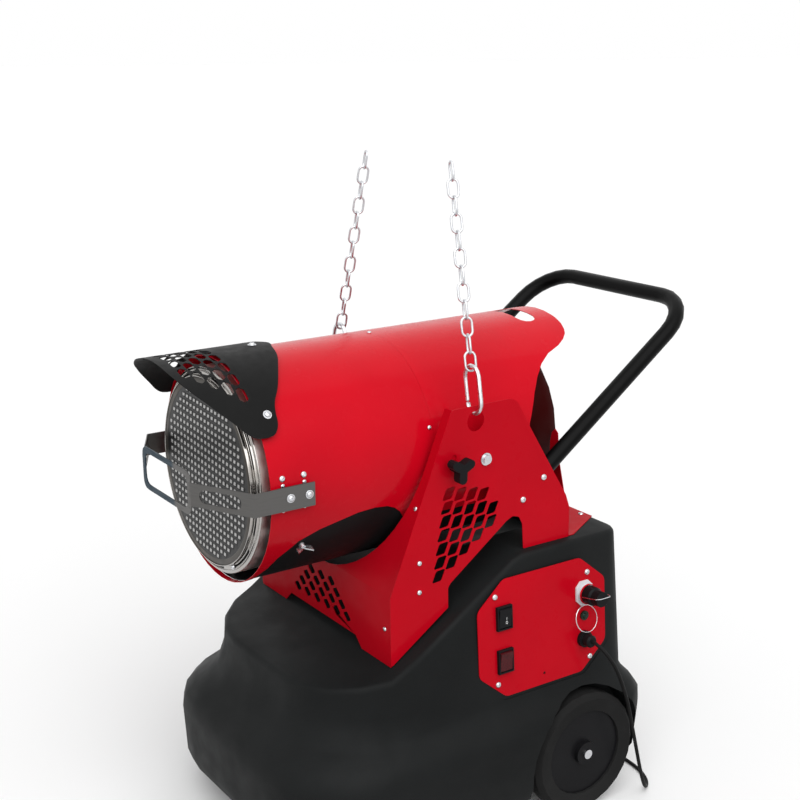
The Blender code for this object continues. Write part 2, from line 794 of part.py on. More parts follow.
front_cuts = [prism_mesh(saddle, "y", -front_reach, front_reach),
              prism_mesh(rounded(notch, [0, 0, notch_corner, notch_corner, 0, 0]), "y", -front_reach,
                         front_reach)]
slot_top_z = 0.1015
slot_row_fall = 0.018
slot_counts = (3, 4, 5, 6)
slot_pitch = 0.0372
slot_reach = 0.020
# Corners of one opening as shares of the pitch
slot_shares = ((-0.331, 0.129), (-0.339, 0.016), (-0.0215, -0.28), (0.331, -0.129), (0.339, -0.016),
               (0.0215, 0.28))
for j, count in enumerate(slot_counts):
    z = slot_top_z - slot_row_fall * j
    for i in range(count):
        x = (i - (count - 1) / 2) * slot_pitch
        shape = [(x + slot_pitch * u, z + slot_pitch * v) for u, v in slot_shares]
        front_cuts.append(prism_mesh(shape, "y", -slot_reach, slot_reach))
boolean(front_plate, merge_meshes("front_cutter", front_cuts, cutter=True))
flange_depth = 0.074
flange_top = 0.208
flange_low = 0.030
flange_rear_low_share = 0.5
flange_mid_share = 0.54
flange_fold_z = fold_z - fold_back
flange_slant_y = (flange_top - fold_z) * slant.x / slant.y
flange_outline = [(sheet / 2, flange_low), (sheet / 2, flange_fold_z),
                  (flange_slant_y + sheet / 2, flange_top),
                  (flange_depth, flange_top), (flange_depth, flange_top * flange_rear_low_share),
                  (flange_depth * flange_mid_share, flange_low)]
for side, label in ((1, "right"), (-1, "left")):
    low, high = sorted((side * (front_half - sheet), side * front_half))
    boolean(front_plate, prism("flange_form_" + label, flange_outline, "x", low, high, cutter=True), "UNION")

# Rear foot plate: a strip on the tank's deck with two upright ears
strip_half = panel_inner - touch_gap
strip_gap = 0.0005
strip_front = panel_depth + strip_gap
strip_length = 0.112
strip_rear = strip_front + strip_length
strip_taper = 0.015
strip_taper_y = strip_front + strip_taper
strip_step = 0.059
strip_rear_half = support_half - strip_step
notch_depth = 0.070
notch_rear = strip_front + notch_depth
notch_inner = 0.1180
strip_low = deck_z + touch_gap
strip_high = strip_low + sheet
strip_outline = [(-strip_half, strip_front), (-notch_inner, strip_front), (-notch_inner, notch_rear),
                 (notch_inner, notch_rear), (notch_inner, strip_front), (strip_half, strip_front),
                 (strip_half, strip_taper_y), (strip_rear_half, strip_rear), (-strip_rear_half, strip_rear),
                 (-strip_half, strip_taper_y)]
rear_plate = prism("rear_foot_plate", strip_outline, "z", strip_low, strip_high, red_paint)
ear_height = 0.206
ear_shares = ((0.7572, 0), (1, 0), (1, 0.2913), (0.9547, 0.3398), (0.8765, 0.6796), (0.8498, 0.966),
              (0.8148, 1), (0.7778, 0.9563), (0.7572, 0.8641))
ear_outline = [(strip_half * x, strip_low + sheet / 2 + ear_height * z) for x, z in ear_shares]
for side, label in ((1, "right"), (-1, "left")):
    outline = [(side * x, z) for x, z in ear_outline]
    ear = prism("ear_form_" + label, outline, "y", strip_front + touch_gap, strip_front + touch_gap + sheet,
                cutter=True)
    boolean(rear_plate, ear, "UNION")

# Handle: a bent tube bolted inside the panels
handle_radius = 0.0160
handle_half = panel_inner - touch_gap - handle_radius
handle_foot_y = 0.2850
handle_foot_z = 0.2476
handle_rear_y = 0.7462
handle_top_z = 0.5860
handle_foot = (handle_foot_y, handle_foot_z)
handle_corner = (handle_rear_y, handle_top_z)
handle_bend = 0.090
handle_steps = 6
leg_run = Vector((handle_corner[0] - handle_foot[0], handle_corner[1] - handle_foot[1]))
leg_length = leg_run.length
leg_unit = leg_run.normalized()


def on_handle(x, travel):
    return (x, handle_foot[0] + leg_unit.x * travel, handle_foot[1] + leg_unit.y * travel)


handle_path = [on_handle(handle_half, 0.0), on_handle(handle_half, leg_length / 2)]
for i in range(handle_steps + 1):
    angle = math.pi / 2 * i / handle_steps
    handle_path.append(on_handle(handle_half - handle_bend * (1 - math.cos(angle)),
                                 leg_length - handle_bend * (1 - math.sin(angle))))
handle_path += [(-x, y, z) for x, y, z in reversed(handle_path)]
finish_object("handle", sweep_mesh(handle_path, handle_radius, 12), black_paint)

# Burner shell: front part with its lower cut, rear hood with hand slot

# Lower edge of the red shell: share of its length from the rim, and angle from the top in degrees
shell_edge_shares = ((0.0324, 149), (0.0382, 141), (0.0874, 127), (0.1829, 117), (0.2988, 112.2),
                     (0.4124, 109.6), (0.5238, 107.2), (0.6265, 106.6), (0.7038, 107.4),
                     (0.7559, 109.6), (0.7974, 113), (0.8324, 118), (1, 120))
shell_length = seam_y - rim_y
shell_edge = [(rim_y + shell_length * share, degrees) for share, degrees in shell_edge_shares]
shell_outline = mirrored([(180, rim_y), (180, ring_end_y)] + [(u, y) for y, u in shell_edge])
front_shell = finish_object("front_shell", rolled_sheet_mesh(shell_outline, thin_sheet, shell_radius,
                                                             full_turn=True), red_paint)

# Rear edge of the hood: angle from the top in degrees, and share of its length from the seam
hood_rear_y = 0.524
hood_edge_shares = ((0, 1), (18, 0.9995), (24, 0.9937), (29, 0.9798), (32.4, 0.9635), (36, 0.9295),
                    (39.6, 0.8786), (43.5, 0.7914), (49, 0.7204), (56, 0.6625), (64, 0.6166),
                    (79, 0.5554), (95, 0.5315), (120, 0.5239))
hood_length = hood_rear_y - seam_y
hood_edge = [(degrees, seam_y + hood_length * share) for degrees, share in hood_edge_shares]
grip_y = 0.4610
grip_half_y = 0.0205
grip_half_turn = 0.0650
grip_flat = grip_half_turn - grip_half_y
grip_steps = 6
grip_hole = arc_points((grip_flat, grip_y), grip_half_y, -math.pi / 2, math.pi / 2, grip_steps)
grip_hole += arc_points((-grip_flat, grip_y), grip_half_y, math.pi / 2, 3 * math.pi / 2, grip_steps)
grip_hole = [(math.degrees(arc / shell_radius), y) for arc, y in grip_hole]
hood_start = seam_y + touch_gap
hood_outline = [(-hood_edge[-1][0], hood_start), (hood_edge[-1][0], hood_start)]
hood_outline += [(u, y) for u, y in reversed(hood_edge)] + [(-u, y) for u, y in hood_edge[1:]]
rear_hood = finish_object("rear_hood", rolled_sheet_mesh(hood_outline, thin_sheet, shell_radius, [grip_hole]),
                          red_paint)

# Black under shell behind the red one
under_from = 98
wing_y = -0.1408
wing_degrees = 120.3
wing_hole_radius = 0.0035
wing_hole_steps = 10
wing_holes = []
for degrees in (wing_degrees, 360 - wing_degrees):
    circle = arc_points((0, 0), wing_hole_radius, 0, 2 * math.pi * (wing_hole_steps - 1) / wing_hole_steps,
                        wing_hole_steps - 1)
    wing_holes.append([(degrees + math.degrees(a / under_radius), wing_y + b) for a, b in circle])
under_outline = [(under_from, under_start_y), (360 - under_from, under_start_y),
                 (360 - under_from, under_end_y),
                 (under_from, under_end_y)]
under_shell = finish_object("under_shell", rolled_sheet_mesh(under_outline, thin_sheet, under_radius,
                                                             wing_holes),
                            black_paint)

# Visor with its curved edges and honeycomb
visor_front_y = -0.3275
visor_rear_y = -0.0950
visor_length = visor_rear_y - visor_front_y
# Front and rear edges: angle from the top in degrees, and share of the visor's length
visor_front_shares = ((0, 0), (10, 0.0022), (18, 0.009), (31, 0.0692), (42.3, 0.1759), (53.3, 0.3084),
                      (57.2, 0.3531), (60.3, 0.4108), (61.5, 0.4839))
visor_rear_shares = ((0, 1), (6.7, 0.9669), (16.4, 0.9252), (25.8, 0.852), (38, 0.7505),
                     (49.4, 0.6512), (54, 0.6344), (58.7, 0.6086), (60.7, 0.5806), (61.5, 0.5355))
visor_front = [(degrees, visor_front_y + visor_length * share) for degrees, share in visor_front_shares]
visor_rear = [(degrees, visor_front_y + visor_length * share) for degrees, share in visor_rear_shares]
cell_half_arc = 0.0165
cell_half_y = 0.0081
cell_point = 0.0064
cell_pitch_arc = 0.0370
cell_pitch_y = 0.0190
cell_rows = 5
cell_rear_y = -0.2160
cell_front_border = 0.0180
cell_limit = 41
cell_columns = 5
cells = []
for j in range(cell_rows):
    y = cell_rear_y - cell_pitch_y * j
    shift = cell_pitch_arc / 2 if j % 2 == 0 else 0
    for i in range(-cell_columns, cell_columns + 1):
        arc = i * cell_pitch_arc + shift
        degrees = math.degrees(arc / visor_radius)
        if abs(degrees) > cell_limit:
            continue
        if y - cell_half_y < between(abs(degrees) + 4, visor_front) + cell_front_border:
            continue
        hexagon = [(-cell_half_arc, 0), (-cell_half_arc + cell_point, -cell_half_y),
                   (cell_half_arc - cell_point, -cell_half_y), (cell_half_arc, 0),
                   (cell_half_arc - cell_point, cell_half_y), (-cell_half_arc + cell_point, cell_half_y)]
        cells.append([(math.degrees((arc + u) / visor_radius), y + v) for u, v in hexagon])
visor_outline = [(u, y) for u, y in reversed(visor_front)] + [(-u, y) for u, y in visor_front[1:]]
visor_outline += [(-u, y) for u, y in reversed(visor_rear)] + [(u, y) for u, y in visor_rear[1:]]
visor = finish_object("visor", rolled_sheet_mesh(visor_outline, thin_sheet, visor_radius, cells), black_paint)
# Spacers of the visor: angle from the top in degrees, and share of the visor's length
spacer_shares = ((0, 0.8495), (51, 0.5742), (-51, 0.5742))
spacer_radius = 0.0070
spacer_steps = 10
spacers = []
for degrees, share in spacer_shares:
    way = Vector((math.sin(math.radians(degrees)), 0, math.cos(math.radians(degrees))))
    spacers.append(lathe_mesh([(0, shell_radius + touch_gap), (spacer_radius, shell_radius + touch_gap),
                               (spacer_radius, visor_radius - thin_sheet / 2),
                               (0, visor_radius - thin_sheet / 2)],
                              (0, visor_front_y + visor_length * share, axis_z), way, spacer_steps))
boolean(visor, merge_meshes("spacer_form", spacers, cutter=True), "UNION")

# Inner can, stepped ring and emitter disc
ring_inner = disc_radius / math.cos(math.pi / turn_steps) + touch_gap * 2
ring_depth = 0.0124
ring_rear_y = disc_y + ring_depth - sheet
# Shares of the ring's width and depth, from the disc outwards
ring_shares = ((0, 0.113), (0.10, 0), (0.556, 0.597), (1, 1))
ring_front = [(ring_inner + (can_radius - ring_inner) * u, ring_rear_y - ring_depth * (1 - v))
              for u, v in ring_shares]
ring_thick = 0.0010
can_thick = 0.001
can_front_y = ring_rear_y + ring_thick + touch_gap
can_profile = [(can_radius - can_thick, can_front_y), (can_radius, can_front_y), (can_radius, can_rear_y),
               (can_radius - can_thick, can_rear_y)]
can = lathe("inner_can", can_profile, (0, 0, axis_z), (0, 1, 0), turn_steps, stainless)
spoke_half = 0.008
spoke_front = -0.190
spoke_rear = -0.150
spoke_low = can_radius - can_thick / 2
spoke_high = shell_radius - thin_sheet - touch_gap
spoke_clear = 0.001045
spoke_drop = under_radius - thin_sheet - touch_gap - spoke_clear
for degrees in (55, -55, 180):
    high = spoke_drop if degrees == 180 else spoke_high - shell_radius / 500
    outwards = polar(1, degrees, 0) - Vector((0, 0, axis_z))
    across = Vector((0, 1, 0)).cross(outwards)
    corners = []
    for reach in (spoke_low, high):
        for y in (spoke_front, spoke_rear):
            for s in (-1, 1):
                corners.append(Vector((0, y, axis_z)) + outwards * reach + across * spoke_half * s)
    faces = [[0, 1, 3, 2], [4, 6, 7, 5], [0, 2, 6, 4], [1, 5, 7, 3], [0, 4, 5, 1], [2, 3, 7, 6]]
    spoke = finish_object("spoke_form_%d" % (degrees % 360), mesh_from(corners, faces), None, cutter=True)
    boolean(can, spoke, "UNION")
ring_back = [(r, y + ring_thick) for r, y in reversed(ring_front)]
lathe("emitter_ring", ring_front + ring_back, (0, 0, axis_z), (0, 1, 0), 32, stainless)
disc_edge = disc_radius
disc_profile = [(0, disc_y), (disc_edge, disc_y), (disc_edge, disc_y + disc_thick), (0, disc_y + disc_thick)]
lathe("emitter_disc", disc_profile, (0, 0, axis_z), (0, 1, 0), turn_steps, stainless)

# Burner head and combustion cone inside the can
head_radius = (can_radius - can_thick) * math.cos(math.pi / turn_steps) - touch_gap
head_y = 0.070
head_thick = 0.002
nozzle_radius = 0.034
nozzle_reach = 0.040
nozzle_wall = 0.002
head_profile = [(nozzle_radius - nozzle_wall, head_y - nozzle_reach), (nozzle_radius, head_y - nozzle_reach),
                (nozzle_radius, head_y), (head_radius, head_y), (head_radius, head_y + head_thick),
                (nozzle_radius - nozzle_wall, head_y + head_thick)]
lathe("burner_head", head_profile, (0, 0, axis_z), (0, 1, 0), 20, guard_steel)
cone_small = nozzle_radius + touch_gap * 4
cone_large = head_radius
cone_front = -0.170
cone_mid = -0.060
cone_rear = head_y - nozzle_reach / 2
cone_thick = 0.0015
cone_profile = [(cone_small, cone_rear), (cone_large, cone_mid), (cone_large, cone_front),
                (cone_large - cone_thick, cone_front), (cone_large - cone_thick, cone_mid - cone_thick),
                (cone_small, cone_rear - cone_thick * 2)]
lathe("combustion_cone", cone_profile, (0, 0, axis_z), (0, 1, 0), 20, stainless)

# Rear drum, motor and fan
drum_wall = 0.0015
drum_out = [(drum_flange_radius, drum_front_y), (drum_flange_radius, drum_front_y + drum_wall),
            (drum_radius, drum_front_y + drum_wall)]
dome = arc_points((drum_radius - drum_round, drum_rear_y - drum_round), drum_round, 0, math.pi / 2, 2)
drum_out += dome
drum_in = arc_points((drum_radius - drum_round, drum_rear_y - drum_round), drum_round - drum_wall,
                     math.pi / 2, 0, 2)
inlet_hub = 0.020
drum_profile = drum_out + [(0, drum_rear_y), (0, drum_rear_y - drum_wall)] + drum_in
drum_profile += [(drum_radius - drum_wall, drum_front_y)]
drum = lathe("rear_drum", drum_profile, (0, 0, axis_z), (0, 1, 0), 24, red_paint)
inlet_inner = 0.068
inlet_outer = 0.132
inlet_count = 8
inlet_fill_share = 0.62
inlets = []
for i in range(inlet_count):
    middle = 2 * math.pi * i / inlet_count
    half = math.pi / inlet_count * inlet_fill_share
    shape = arc_points((0, axis_z), inlet_outer, middle - half, middle + half, 2)
    shape += arc_points((0, axis_z), inlet_inner, middle + half, middle - half, 2)
    inlets.append(prism_mesh(shape, "y", drum_rear_y - drum_round, drum_rear_y + drum_round))
boolean(drum, merge_meshes("inlet_cutter", inlets, cutter=True))
motor_radius = 0.055
motor_front = 0.320
motor_rear = drum_rear_y - drum_wall - touch_gap
shaft_radius = 0.006
shaft_depth = 0.030
motor_profile = [(shaft_radius + running_gap, motor_front), (motor_radius, motor_front),
                 (motor_radius, motor_rear), (0, motor_rear), (0, motor_front + shaft_depth),
                 (shaft_radius + running_gap, motor_front + shaft_depth)]
lathe("fan_motor", motor_profile, (0, 0, axis_z), (0, 1, 0), 16, dark_plastic)
fan_front = 0.225
fan_rear = 0.285
fan_hub = 0.022
fan_radius = 0.150
blade_share = 0.9
blade_root_share = 0.8
blade_count = 8
blade_thick = 0.002
blade_turn = math.radians(28)
fan_hub_profile = [(0, fan_front), (fan_hub, fan_front), (fan_hub, fan_rear), (shaft_radius, fan_rear),
                   (shaft_radius, motor_front + shaft_depth - touch_gap),
                   (0, motor_front + shaft_depth - touch_gap)]
fan = lathe("fan_impeller", fan_hub_profile, (0, 0, axis_z), (0, 1, 0), 16, guard_steel,
            origin=(0, 0, axis_z))
blades = []
for i in range(blade_count):
    angle = 2 * math.pi * i / blade_count
    outwards = Vector((math.sin(angle), 0, math.cos(angle)))
    across = Vector((math.cos(angle), 0, -math.sin(angle)))
    along = (Vector((0, 1, 0)) * math.cos(blade_turn) + across * math.sin(blade_turn))
    face = along.cross(outwards).normalized()
    half = (fan_rear - fan_front) / 2 * blade_share
    middle = Vector((0, (fan_front + fan_rear) / 2, axis_z))
    corners = []
    for reach in (fan_hub * blade_root_share, fan_radius):
        for a in (-1, 1):
            for b in (-1, 1):
                corners.append(middle + outwards * reach + along * half * a + face * blade_thick / 2 * b)
    faces = [[0, 1, 3, 2], [4, 6, 7, 5], [0, 2, 6, 4], [1, 5, 7, 3], [0, 4, 5, 1], [2, 3, 7, 6]]
    blades.append(mesh_from(corners, faces))
boolean(fan, merge_meshes("blade_form", blades, cutter=True, origin=(0, 0, axis_z)), "UNION")

# Guard: one folded band with a windowed middle
guard_stand = 0.010
guard_half = shell_radius + guard_stand
guard_end_y = -0.133
guard_bend_y = -0.250
guard_front_y = -0.311
guard_mid_half = 0.100
guard_drop = 0.001
guard_z = axis_z - guard_drop
guard_half_z = 0.0212
guard_mid_half_z = 0.0405
guard_sheet = 0.0018
guard_outer = [(guard_half, guard_end_y), (guard_half, guard_bend_y), (guard_mid_half, guard_front_y),
               (-guard_mid_half, guard_front_y), (-guard_half, guard_bend_y), (-guard_half, guard_end_y)]


def inner_line(points, thick):
    """The same open line moved inwards by the sheet's thickness."""
    moved = []
    for i, point in enumerate(points):
        here = Vector(point)
        normals = []
        for a, b in ((i - 1, i), (i, i + 1)):
            if a < 0 or b >= len(points):
                continue
            run = (Vector(points[b]) - Vector(points[a])).normalized()
            normals.append(Vector((run.y, -run.x)))
        normal = sum(normals, Vector((0, 0))).normalized()
        share = normal.dot(normals[0])
        moved.append(tuple(here + normal * thick / share))
    return moved


guard_inner = inner_line(guard_outer, guard_sheet)
guard_ring = guard_outer + list(reversed(guard_inner))
guard = prism("guard", guard_ring, "z", guard_z - guard_half_z, guard_z + guard_half_z, guard_steel)
middle_shape = [(-guard_mid_half, -guard_mid_half_z), (guard_mid_half, -guard_mid_half_z),
                (guard_mid_half, guard_mid_half_z), (-guard_mid_half, guard_mid_half_z)]
guard_corner = 0.020
middle_outline = [(x, guard_z + z) for x, z in rounded(middle_shape, guard_corner, 4)]
boolean(guard, prism("guard_middle_form", middle_outline, "y", guard_front_y, guard_front_y + guard_sheet,
                     cutter=True), "UNION")
window_half = 0.0880
window_corner = 0.018
guard_cut_reach = 0.0072
window_half_z = 0.0300
window_shape = [(-window_half, -window_half_z), (window_half, -window_half_z), (window_half, window_half_z),
                (-window_half, window_half_z)]
window_outline = [(x, guard_z + z) for x, z in rounded(window_shape, window_corner, 4)]
boolean(guard, prism("guard_window_cutter", window_outline, "y", guard_front_y - guard_cut_reach,
                     guard_front_y + guard_cut_reach, cutter=True))
slot_start_share = 0.14
slot_end_share = 0.80
slot_half_height = 0.0120
for side, label in ((1, "right"), (-1, "left")):
    first = Vector((side * guard_mid_half, guard_front_y))
    last = Vector((side * guard_half, guard_bend_y))
    run = last - first
    across = Vector((run.y, -run.x)).normalized()
    start = run.length * slot_start_share
    end = run.length * slot_end_share
    flat = arc_points((end - slot_half_height, 0), slot_half_height, -math.pi / 2, math.pi / 2, 6)
    flat += arc_points((start + slot_half_height, 0), slot_half_height, math.pi / 2, 3 * math.pi / 2, 6)
    points = []
    for depth in (-guard_cut_reach, guard_cut_reach):
        for u, v in flat:
            place = first + run.normalized() * u + across * depth
            points.append((place.x, place.y, guard_z + v))
    count = len(flat)
    faces = [list(range(count)), list(range(2 * count - 1, count - 1, -1))]
    faces += [[k, (k + 1) % count, count + (k + 1) % count, count + k] for k in range(count)]
    boolean(guard, finish_object("guard_slot_cutter_" + label, mesh_from(points, faces), None, cutter=True))

# Guard brackets on the shell
bracket_front = -0.2010
bracket_rear = -0.1420
bracket_from = 85.2
bracket_to = 95.4
boss_radius = 0.008
boss_steps = 12
bracket_bolt_front = -0.1810
bracket_bolt_rear = -0.1500
bracket_bolts = ((bracket_bolt_front, guard_z), (bracket_bolt_rear, guard_z))
for side, label in ((1, "right"), (-1, "left")):
    outline = [(side * bracket_from, bracket_front), (side * bracket_to, bracket_front),
               (side * bracket_to, bracket_rear), (side * bracket_from, bracket_rear)]
    bracket = finish_object("guard_bracket_" + label, rolled_sheet_mesh(outline, thin_sheet, bracket_radius),
                            guard_steel)
    bosses = []
    for y, z in bracket_bolts:
        low = shell_radius + touch_gap + thin_sheet / 4
        high = guard_half - guard_sheet - touch_gap
        bosses.append(lathe_mesh([(0, low), (boss_radius, low), (boss_radius, high), (0, high)], (0, y, z),
                                 (side, 0, 0), boss_steps))
    boolean(bracket, merge_meshes("boss_form_" + label, bosses, cutter=True), "UNION")

# Trunnion brackets, pivot bolts and lock knobs
trunnion_front = 0.1245
trunnion_rear = 0.2350
trunnion_half = 0.025
trunnion_low = pivot_z - trunnion_half
trunnion_high = pivot_z + trunnion_half
trunnion_plate = 0.0030
trunnion_outer = panel_inner - 3 * touch_gap
trunnion_bite = 0.013
trunnion_root = shell_radius - trunnion_bite
leg_thick = 0.006
leg_front_y = 0.1290
leg_rear_y = 0.2270
leg_front = (leg_front_y, leg_front_y + leg_thick)
leg_rear = (leg_rear_y, leg_rear_y + leg_thick)
bore_steps = 14
bore_gap = 0.0006
washer_radius = 0.0120
washer_thick = 0.0018
head_radius_bolt = 0.0085
head_height = 0.0055
knob_reach = 0.034
knob_hub = 0.010
knob_lobe = 0.0085
knob_arm = 0.0185
knob_turn = math.radians(27)
knob_thick = 0.016
knob_start = 0.016
web_share = 0.95
# Where each lobe's rim has its points, as shares of half a turn
lobe_shares = (-0.48, -0.29, -0.1, 0.1, 0.29, 0.48)
for side, label in ((1, "right"), (-1, "left")):
    low, high = sorted((side * (trunnion_outer - trunnion_plate), side * trunnion_outer))
    bracket = block("trunnion_" + label, (low, high), (trunnion_front, trunnion_rear),
                    (trunnion_low, trunnion_high), red_paint)
    legs = []
    for y0, y1 in (leg_front, leg_rear):
        x0, x1 = sorted((side * trunnion_root, side * (trunnion_outer - trunnion_plate / 2)))
        legs.append(prism_mesh([(x0, y0), (x1, y0), (x1, y1), (x0, y1)], "z", trunnion_low, trunnion_high))
    boolean(bracket, merge_meshes("leg_form_" + label, legs, cutter=True), "UNION")
    boolean(bracket, rod("trunnion_clear_" + label, (0, 0, axis_z), (0, 1, 0), shell_radius + touch_gap,
                         0, 2 * trunnion_rear, turn_steps, cutter=True))
    bores = []
    for y, z in ((pivot_y, pivot_z), (pivot_y - lock_reach, pivot_z)):
        bores.append(lathe_mesh([(0, trunnion_root), (bolt_radius + bore_gap, trunnion_root),
                                 (bolt_radius + bore_gap, support_half), (0, support_half)], (0, y, z),
                                (side, 0, 0), bore_steps))
    boolean(bracket, merge_meshes("trunnion_bore_" + label, bores, cutter=True))
    face = support_half + touch_gap
    bolt_profile = [(0, trunnion_outer - 4 * trunnion_plate),
                    (bolt_radius, trunnion_outer - 4 * trunnion_plate),
                    (bolt_radius, face), (washer_radius, face), (washer_radius, face + washer_thick),
                    (head_radius_bolt, face + washer_thick),
                    (head_radius_bolt, face + washer_thick + head_height),
                    (0, face + washer_thick + head_height)]
    lathe("pivot_bolt_" + label, bolt_profile, (0, pivot_y, pivot_z), (side, 0, 0), bore_steps, zinc,
          origin=(0, pivot_y, pivot_z))
    lock_at = (0, pivot_y - lock_reach, pivot_z)
    stud_profile = [(0, trunnion_outer - 4 * trunnion_plate),
                    (bolt_radius, trunnion_outer - 4 * trunnion_plate),
                    (bolt_radius, face), (knob_hub, face), (knob_hub, face + knob_start),
                    (0, face + knob_start)]
    knob = lathe("lock_knob_" + label, stud_profile, lock_at, (side, 0, 0), bore_steps, dark_plastic,
                 origin=lock_at)
    star = []
    lobes = 3
    for i in range(lobes):
        angle = knob_turn + 2 * math.pi * i / lobes
        tip = (math.cos(angle) * knob_arm, math.sin(angle) * knob_arm)
        star += [(tip[0] + knob_lobe * math.cos(angle + math.pi * t),
                  tip[1] + knob_lobe * math.sin(angle + math.pi * t))
                 for t in lobe_shares]
        middle = angle + math.pi / lobes
        star.append((math.cos(middle) * knob_hub * web_share, math.sin(middle) * knob_hub * web_share))
    star_outline = [(lock_at[1] + u, lock_at[2] + v) for u, v in star]
    x0, x1 = sorted((side * (face + knob_start - knob_hub / 4), side * (face + knob_start + knob_thick)))
    star_form = prism("star_form_" + label, star_outline, "x", x0, x1, cutter=True, origin=lock_at)
    boolean(knob, star_form, "UNION")

# Wing screws under the shell
wing_stem_radius = 0.003
wing_in = 0.006
wing_head_radius = 0.006
wing_head = 0.008
wing_span = 0.015
wing_depth = 0.011
wing_thick = 0.003
wing_root = 0.003
neck_share = 0.8
root_share = 0.5
dip_share = 0.2
for side, label in ((1, "right"), (-1, "left")):
    foot = polar(under_radius, side * wing_degrees, wing_y)
    outwards = (foot - Vector((0, wing_y, axis_z))).normalized()
    profile = [(0, -wing_in), (wing_stem_radius, -wing_in), (wing_stem_radius, touch_gap),
               (wing_head_radius, touch_gap), (wing_head_radius * neck_share, wing_head), (0, wing_head)]
    wing = lathe("wing_screw_" + label, profile, foot, outwards, 16, zinc, origin=foot)
    across = Vector((0, 1, 0))
    face_dir = outwards.cross(across)
    corners = []
    for u, v in ((-wing_head_radius * root_share, wing_root), (wing_head_radius * root_share, wing_root),
                 (wing_span, wing_head), (wing_span, wing_head + wing_depth),
                 (0, wing_head + wing_depth * dip_share),
                 (-wing_span, wing_head + wing_depth), (-wing_span, wing_head)):
        corners.append((u, v))
    points = []
    for level in (-wing_thick / 2, wing_thick / 2):
        for u, v in corners:
            points.append(foot + across * u + outwards * v + face_dir * level)
    count = len(corners)
    faces = [list(range(count)), list(range(2 * count - 1, count - 1, -1))]
    faces += [[k, (k + 1) % count, count + (k + 1) % count, count + k] for k in range(count)]
    wing_form = finish_object("wing_form_" + label, mesh_from(points, faces), None, cutter=True, origin=foot)
    boolean(wing, wing_form, "UNION")

# Control plate and what it carries
plate_thick = 0.0015
control_plate = plate_prism("control_plate", plate_outline, plate_back, plate_back + plate_thick, red_paint)
stem_share = 0.94
plate_cuts = []


def plate_square(along, up, half_a, half_b):
    return [(along - half_a, up - half_b), (along + half_a, up - half_b), (along + half_a, up + half_b),
            (along - half_a, up + half_b)]


for up in switch_ups:
    plate_cuts.append(plate_prism_mesh(plate_square(switch_along, up,
                                                    switch_half_along * stem_share + switch_cut_gap,
                                                    switch_half_up * stem_share + switch_cut_gap),
                                       plate_back * 4, -plate_back * 4))
for along, up, radius in ((socket_along, socket_up, socket_bore + touch_gap),
                          (lamp_along, lamp_up, lamp_radius + touch_gap),
                          (gland_along, gland_up, gland_radius + touch_gap),
                          (drain_along, drain_up, drain_radius)):
    circle = arc_points((along, up), radius, 0, 2 * math.pi * 15 / 16, 15)
    plate_cuts.append(plate_prism_mesh(circle, plate_back * 4, -plate_back * 4))
boolean(control_plate, merge_meshes("plate_cutter", plate_cuts, cutter=True))

# Control box in the tank's pocket, open towards the plate
box_wall = 0.003
box_front = recess_floor - touch_gap
control_box = plate_prism("control_box", plate_square(0, 0, box_half_along, box_half_up), -box_depth,
                          box_front, dark_plastic)
box_hollow = plate_prism("box_hollow_cutter", plate_square(0, 0, box_half_along - box_wall,
                                                           box_half_up - box_wall),
                         -box_depth + box_wall, box_front + box_wall, cutter=True)
boolean(control_box, box_hollow)
board_half_along = 0.070
board_half_up = 0.055
board_low = -box_depth + box_wall + touch_gap
board_thick = 0.012
board_high = board_low + board_thick
plate_prism("ignition_board", plate_square(0, 0, board_half_along, board_half_up), board_low, board_high,
            guard_steel)

# Rocker switches
housing_out = 0.0075
housing_wall = 0.0030
housing_depth = 0.022
rocker_gap = 0.0003
rocker_half_along = switch_half_along - housing_wall - rocker_gap * 2
rocker_reach = switch_half_up - housing_wall - rocker_gap
rocker_pivot_out = -0.0010
rocker_crown = math.radians(29)
rocker_skirt = math.radians(-12)
rocker_dip = 0.0088
rocker_throw = math.radians(12)
rocker_names = ("upper", "lower")
rocker_looks = (dark_plastic, red_lens)
for up, label, look in zip(switch_ups, rocker_names, rocker_looks):
    housing = plate_prism("switch_housing_" + label,
                          plate_square(switch_along, up, switch_half_along, switch_half_up),
                          touch_gap, housing_out, dark_plastic)
    stem = plate_prism("housing_stem_" + label,
                       plate_square(switch_along, up, switch_half_along * stem_share,
                                    switch_half_up * stem_share),
                       -housing_depth, housing_out / 2, cutter=True)
    boolean(housing, stem, "UNION")
    well = plate_prism("housing_well_" + label,
                       plate_square(switch_along, up, switch_half_along - housing_wall,
                                    switch_half_up - housing_wall), -housing_depth / 2, housing_out * 2,
                       cutter=True)
    boolean(housing, well)
    pivot = on_plate(switch_along, up, rocker_pivot_out)
    lean = rocker_throw / 2
    side_view = arc_points((0, 0), rocker_reach, rocker_skirt + lean, rocker_crown + lean, 3)
    side_view.append((-rocker_dip * math.sin(lean), rocker_dip * math.cos(lean)))
    side_view += arc_points((0, 0), rocker_reach, math.pi - rocker_crown + lean,
                            math.pi - rocker_skirt + lean, 3)
    points = []
    for along in (switch_along - rocker_half_along, switch_along + rocker_half_along):
        for v, w in side_view:
            points.append(on_plate(along, up + v, rocker_pivot_out + w))
    count = len(side_view)
    faces = [list(range(count)), list(range(2 * count - 1, count - 1, -1))]
    faces += [[k, (k + 1) % count, count + (k + 1) % count, count + k] for k in range(count)]
    finish_object("switch_rocker_" + label, mesh_from(points, faces), look, origin=pivot)

